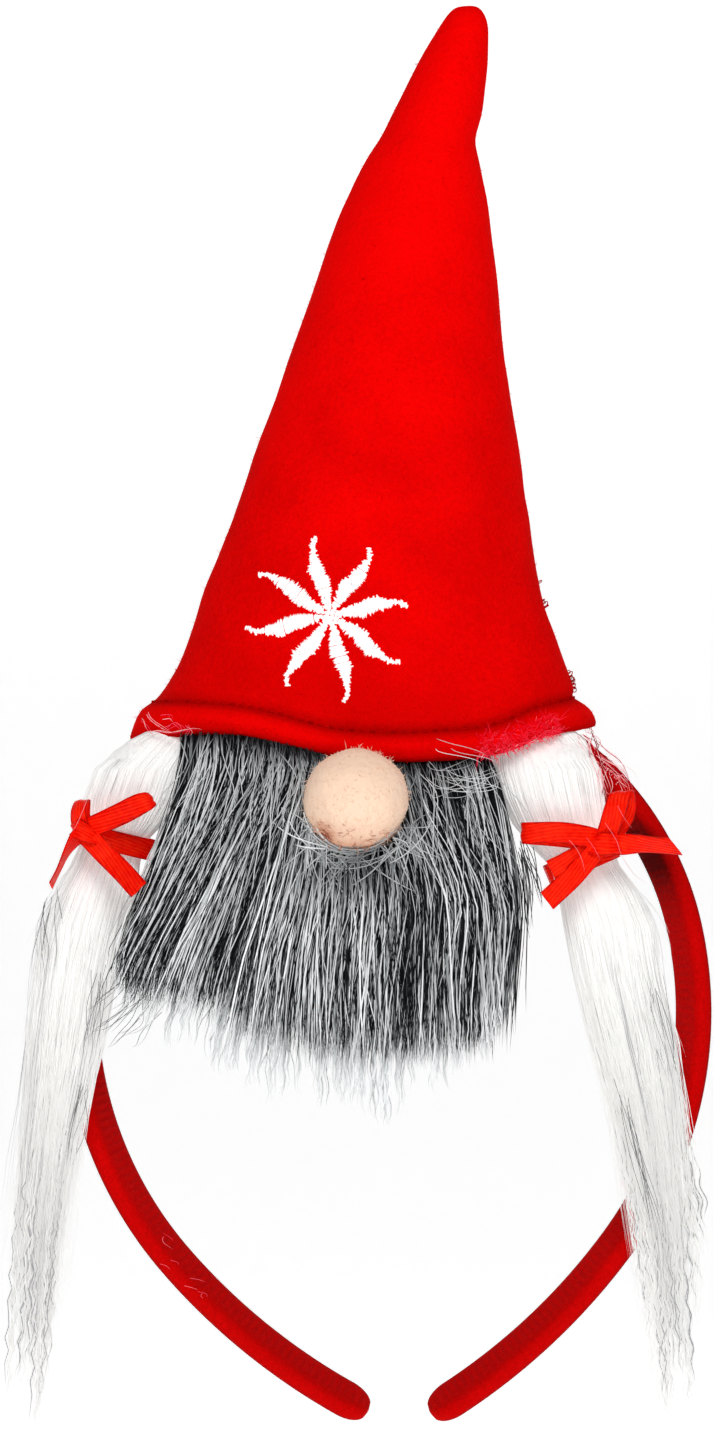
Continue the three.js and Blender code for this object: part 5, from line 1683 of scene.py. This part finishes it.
# %% [markdown]
# Further down, routes lead a tangle over the band, hairs across the bows and through the gap beside the
# right pigtail, dark strands down the white hair, hairs of the beard over the left pigtail and lint on the
# band. Grey hairs stand off the outer side of each pigtail.
# %% Wisps over the band and the bows
tangle = [
    [(47.4, 13, -10.2), (49.2, 14, -12.9), (52.6, 13, -15.3), (54.8, 12, -18.2), (55.7, 12, -20.2),
     (56.1, 12, -22.9)],
    [(47.9, 13, -10.9), (50.8, 14, -12.9), (53.4, 13, -14.7), (55.0, 12, -16.4), (55.7, 12, -19.3)],
    [(46.6, 14, -8.7), (47.9, 15, -11.8), (49.4, 16, -15.3), (50.6, 17, -18.7), (51.2, 18, -21.1)],
    [(51.4, 14, -14.0), (50.3, 15, -16.7), (50.1, 16, -19.8), (50.6, 17, -22.9)],
    [(51.9, 13, -18.7), (53.2, 13, -17.6), (54.6, 12, -18.7), (55.9, 12, -19.6)],
    [(45.7, 13, -7.3), (47.2, 13, -8.4), (47.9, 13, -10.4), (47.0, 14, -12.0)],
]
crossing = [
    [(49.2, 20, -15.8), (50.8, 22, -20.2), (52.8, 27, -22.7), (54.1, 29, -25.1), (55.4, 28, -27.1),
     (57.0, 26, -28.9)],
    [(50.1, 27, -26.9), (51.4, 29, -28.9), (52.8, 29, -31.1), (53.7, 28, -34.0), (55.4, 26, -36.7),
     (57.2, 24, -38.9), (60.3, 20, -40.9)],
    [(42.6, 28, -30.9), (44.1, 29, -32.7), (45.4, 29.5, -35.3), (46.1, 29, -38.2)],
    [(46.3, 30, -30.4), (47.9, 30.5, -32.7), (49.4, 30, -35.3)],
    [(-63.0, 29, -22.2), (-64.1, 29.5, -25.1), (-65.4, 29.5, -27.8), (-66.6, 28, -29.6)],
]
between_hair = [
    [(32.3, 24, -30.9), (34.1, 22, -34.9), (35.4, 21, -38.4), (36.3, 20, -42.9), (37.0, 19, -47.3)],
    [(31.9, 23, -33.6), (33.0, 21, -40.2), (33.2, 20, -46.9), (34.1, 19, -53.6)],
]
dark_strands = [
    [(53.8, 22, -86), (55.6, 21.5, -93), (57.4, 21, -100), (59.6, 20, -108), (61.4, 19, -116),
     (62.4, 18, -123)],
    [(61.4, 20, -62), (63.4, 19.5, -70), (65.2, 19, -78), (66.4, 18, -87)],
    [(-70.8, 19, -42), (-71.6, 20, -52), (-72.2, 20, -62)],
    [(-60.6, 21, -58), (-62, 21, -68), (-63.4, 20, -80)],
    [(-64.0, 18, -84), (-66.0, 17, -94), (-67.4, 17, -104)],
]
on_band = [
    [(55.5, 9, -106), (57, 9.5, -112), (58, 9, -118), (58.6, 8, -124)],
    [(54.2, 9, -104), (55.6, 9.5, -110), (57.8, 9, -115)],
    [(-46.8, 7, -118.4), (-45.6, 7.5, -119.6), (-44.4, 7, -121.4)],
    [(-46.2, 7, -123.8), (-45, 7.5, -124.4), (-44, 7, -125.6)],
    [(-42.6, 7, -128.2), (-41, 7.5, -128.6), (-39.6, 7, -129.4)],
    [(-38.8, 7, -131.2), (-37.8, 7.5, -131.6), (-37, 7, -132.6)],
]
over_pigtail = [
    [(-51, 26, -58), (-54, 25, -64), (-57, 23, -68), (-60.5, 21, -70.5)],
    [(-50, 26, -62), (-53, 25, -68), (-57, 23, -72), (-60, 21, -76)],
    [(-48, 27, -64), (-51, 26, -70), (-55, 24, -74), (-58.5, 22, -75)],
]
EDGE_HAIRS, EDGE_STEPS = 60, 12
EDGE_FROM, EDGE_STARTS, EDGE_LONG = 34, (-4, 12), (14, 60)
EDGE_AROUND, EDGE_OFF = 32, 0.4
EDGE_SWAY, EDGE_PACE = 0.12, (3, 9)


def edge_hairs(shape, turn, chance):
    """Grey hairs down one side of a pigtail, from the ribbon, standing off it further and further."""
    heights, _, _ = shape
    t = np.linspace(0, 1, EDGE_STEPS)
    each = (EDGE_HAIRS, 1)
    around = np.radians(chance.normal(turn, EDGE_AROUND, each))
    out = chance.uniform(0.8, 1.0, each) + chance.uniform(0, EDGE_OFF, each) * t**1.5
    spots = np.stack([out * np.cos(around), out * np.sin(around)], -1)
    spots = spots + wander(EDGE_HAIRS, EDGE_STEPS, EDGE_SWAY, chance, EDGE_PACE)[..., :2]
    fall = chance.uniform(*EDGE_STARTS, each) + chance.uniform(*EDGE_LONG, each) * t
    return in_bundle(shape, spots, heights[0] - EDGE_FROM - fall)


wisps("band_tangle", loose(tangle, 6, 0.8, chance), 0.08, (0.7, 1.0), fuzz, chance)
wisps("band_dark_tangle", loose(tangle, 4, 0.9, chance), 0.09, (0.0, 0.15), fuzz, chance)
wisps("bow_hairs", loose(crossing, 1, 0.1, chance), 0.055, (0.6, 0.85), fuzz, chance)
wisps("gap_hairs", loose(between_hair, 9, 0.9, chance), 0.12, (0.3, 0.5), fur, chance)
lines = edge_hairs(right_bundle, 0, chance)
wisps("edge_hairs", lines, 0.07, (0.3, 0.75), white_hair, chance)
lines = edge_hairs(left_bundle, 180, chance)
wisps("edge_hairs_left", lines, 0.06, (0.35, 0.8), white_hair, chance)
wisps("dark_hairs", loose(dark_strands, 8, 1.2, chance), 0.07, (0, 0.2), white_hair, chance)
wisps("beard_wisps", loose(over_pigtail, 7, 1.5, chance), 0.08, (0.3, 0.75), fur, chance)
wisps("band_hairs", loose(on_band, 2, 0.8, chance), 0.045, (0.5, 0.8), fuzz, chance)

# %% [markdown]
# ## The wadding
# Stuffing shows only from below, in the mouth of the hat. It is loose white fibre: a lumpy body with fine
# curls all over it.
# %% Wadding
WADDING_LUMP, WADDING_SHRINK = 0.5, 0.2
WADDING_CURLS, WADDING_TRIES = 700, 40000
CURL_LONG, CURL_STEPS, CURL_THICK = 1.8, 5, 0.06
MOUTH_HIGH, MOUTH_SHARE = 6, 0.72
WADDING_DIM, WADDING_WHITE = (0.80, 0.79, 0.77), (0.93, 0.92, 0.9)

fluff_white, start = finish("wadding", Roughness=0.9, Sheen_Weight=0.2)
feed(fluff_white, Base_Color=ramp(start, grain(start, 0.4, 4), [(0.3, WADDING_DIM), (0.7, WADDING_WHITE)]),
     Normal=raised(start, grain(start, 0.8, 4), 0.6))

points, outward, faces = refined("hat_wadding", 2)
points = points + outward * (WADDING_LUMP * lumps(points, 7) - WADDING_SHRINK)[:, None]
wadding = piece("wadding_body", points, faces, fluff_white, ["hat_wadding"])
chance = np.random.default_rng(11)
places, outward = scattered(points, faces, WADDING_TRIES, chance)
inside = np.linalg.norm((places[:, :2] - [HEM_MIDDLE, 0]) / [HEM_HALF, HEM_DEEP], axis=1) < MOUTH_SHARE
low = (places[:, 2] < MOUTH_HIGH) & (outward[:, 2] < -0.6) & inside
places, outward = places[low][:WADDING_CURLS], outward[low][:WADDING_CURLS]
lines = nap(places, outward, CURL_LONG, 0.8, 0.5, CURL_STEPS, chance)
tone = one_tone(lines, (0.7, 1), chance)
thick = taper(len(lines), CURL_STEPS, CURL_THICK)
strand_piece("wadding_curls", lines, thick, tone, white_hair, chance)
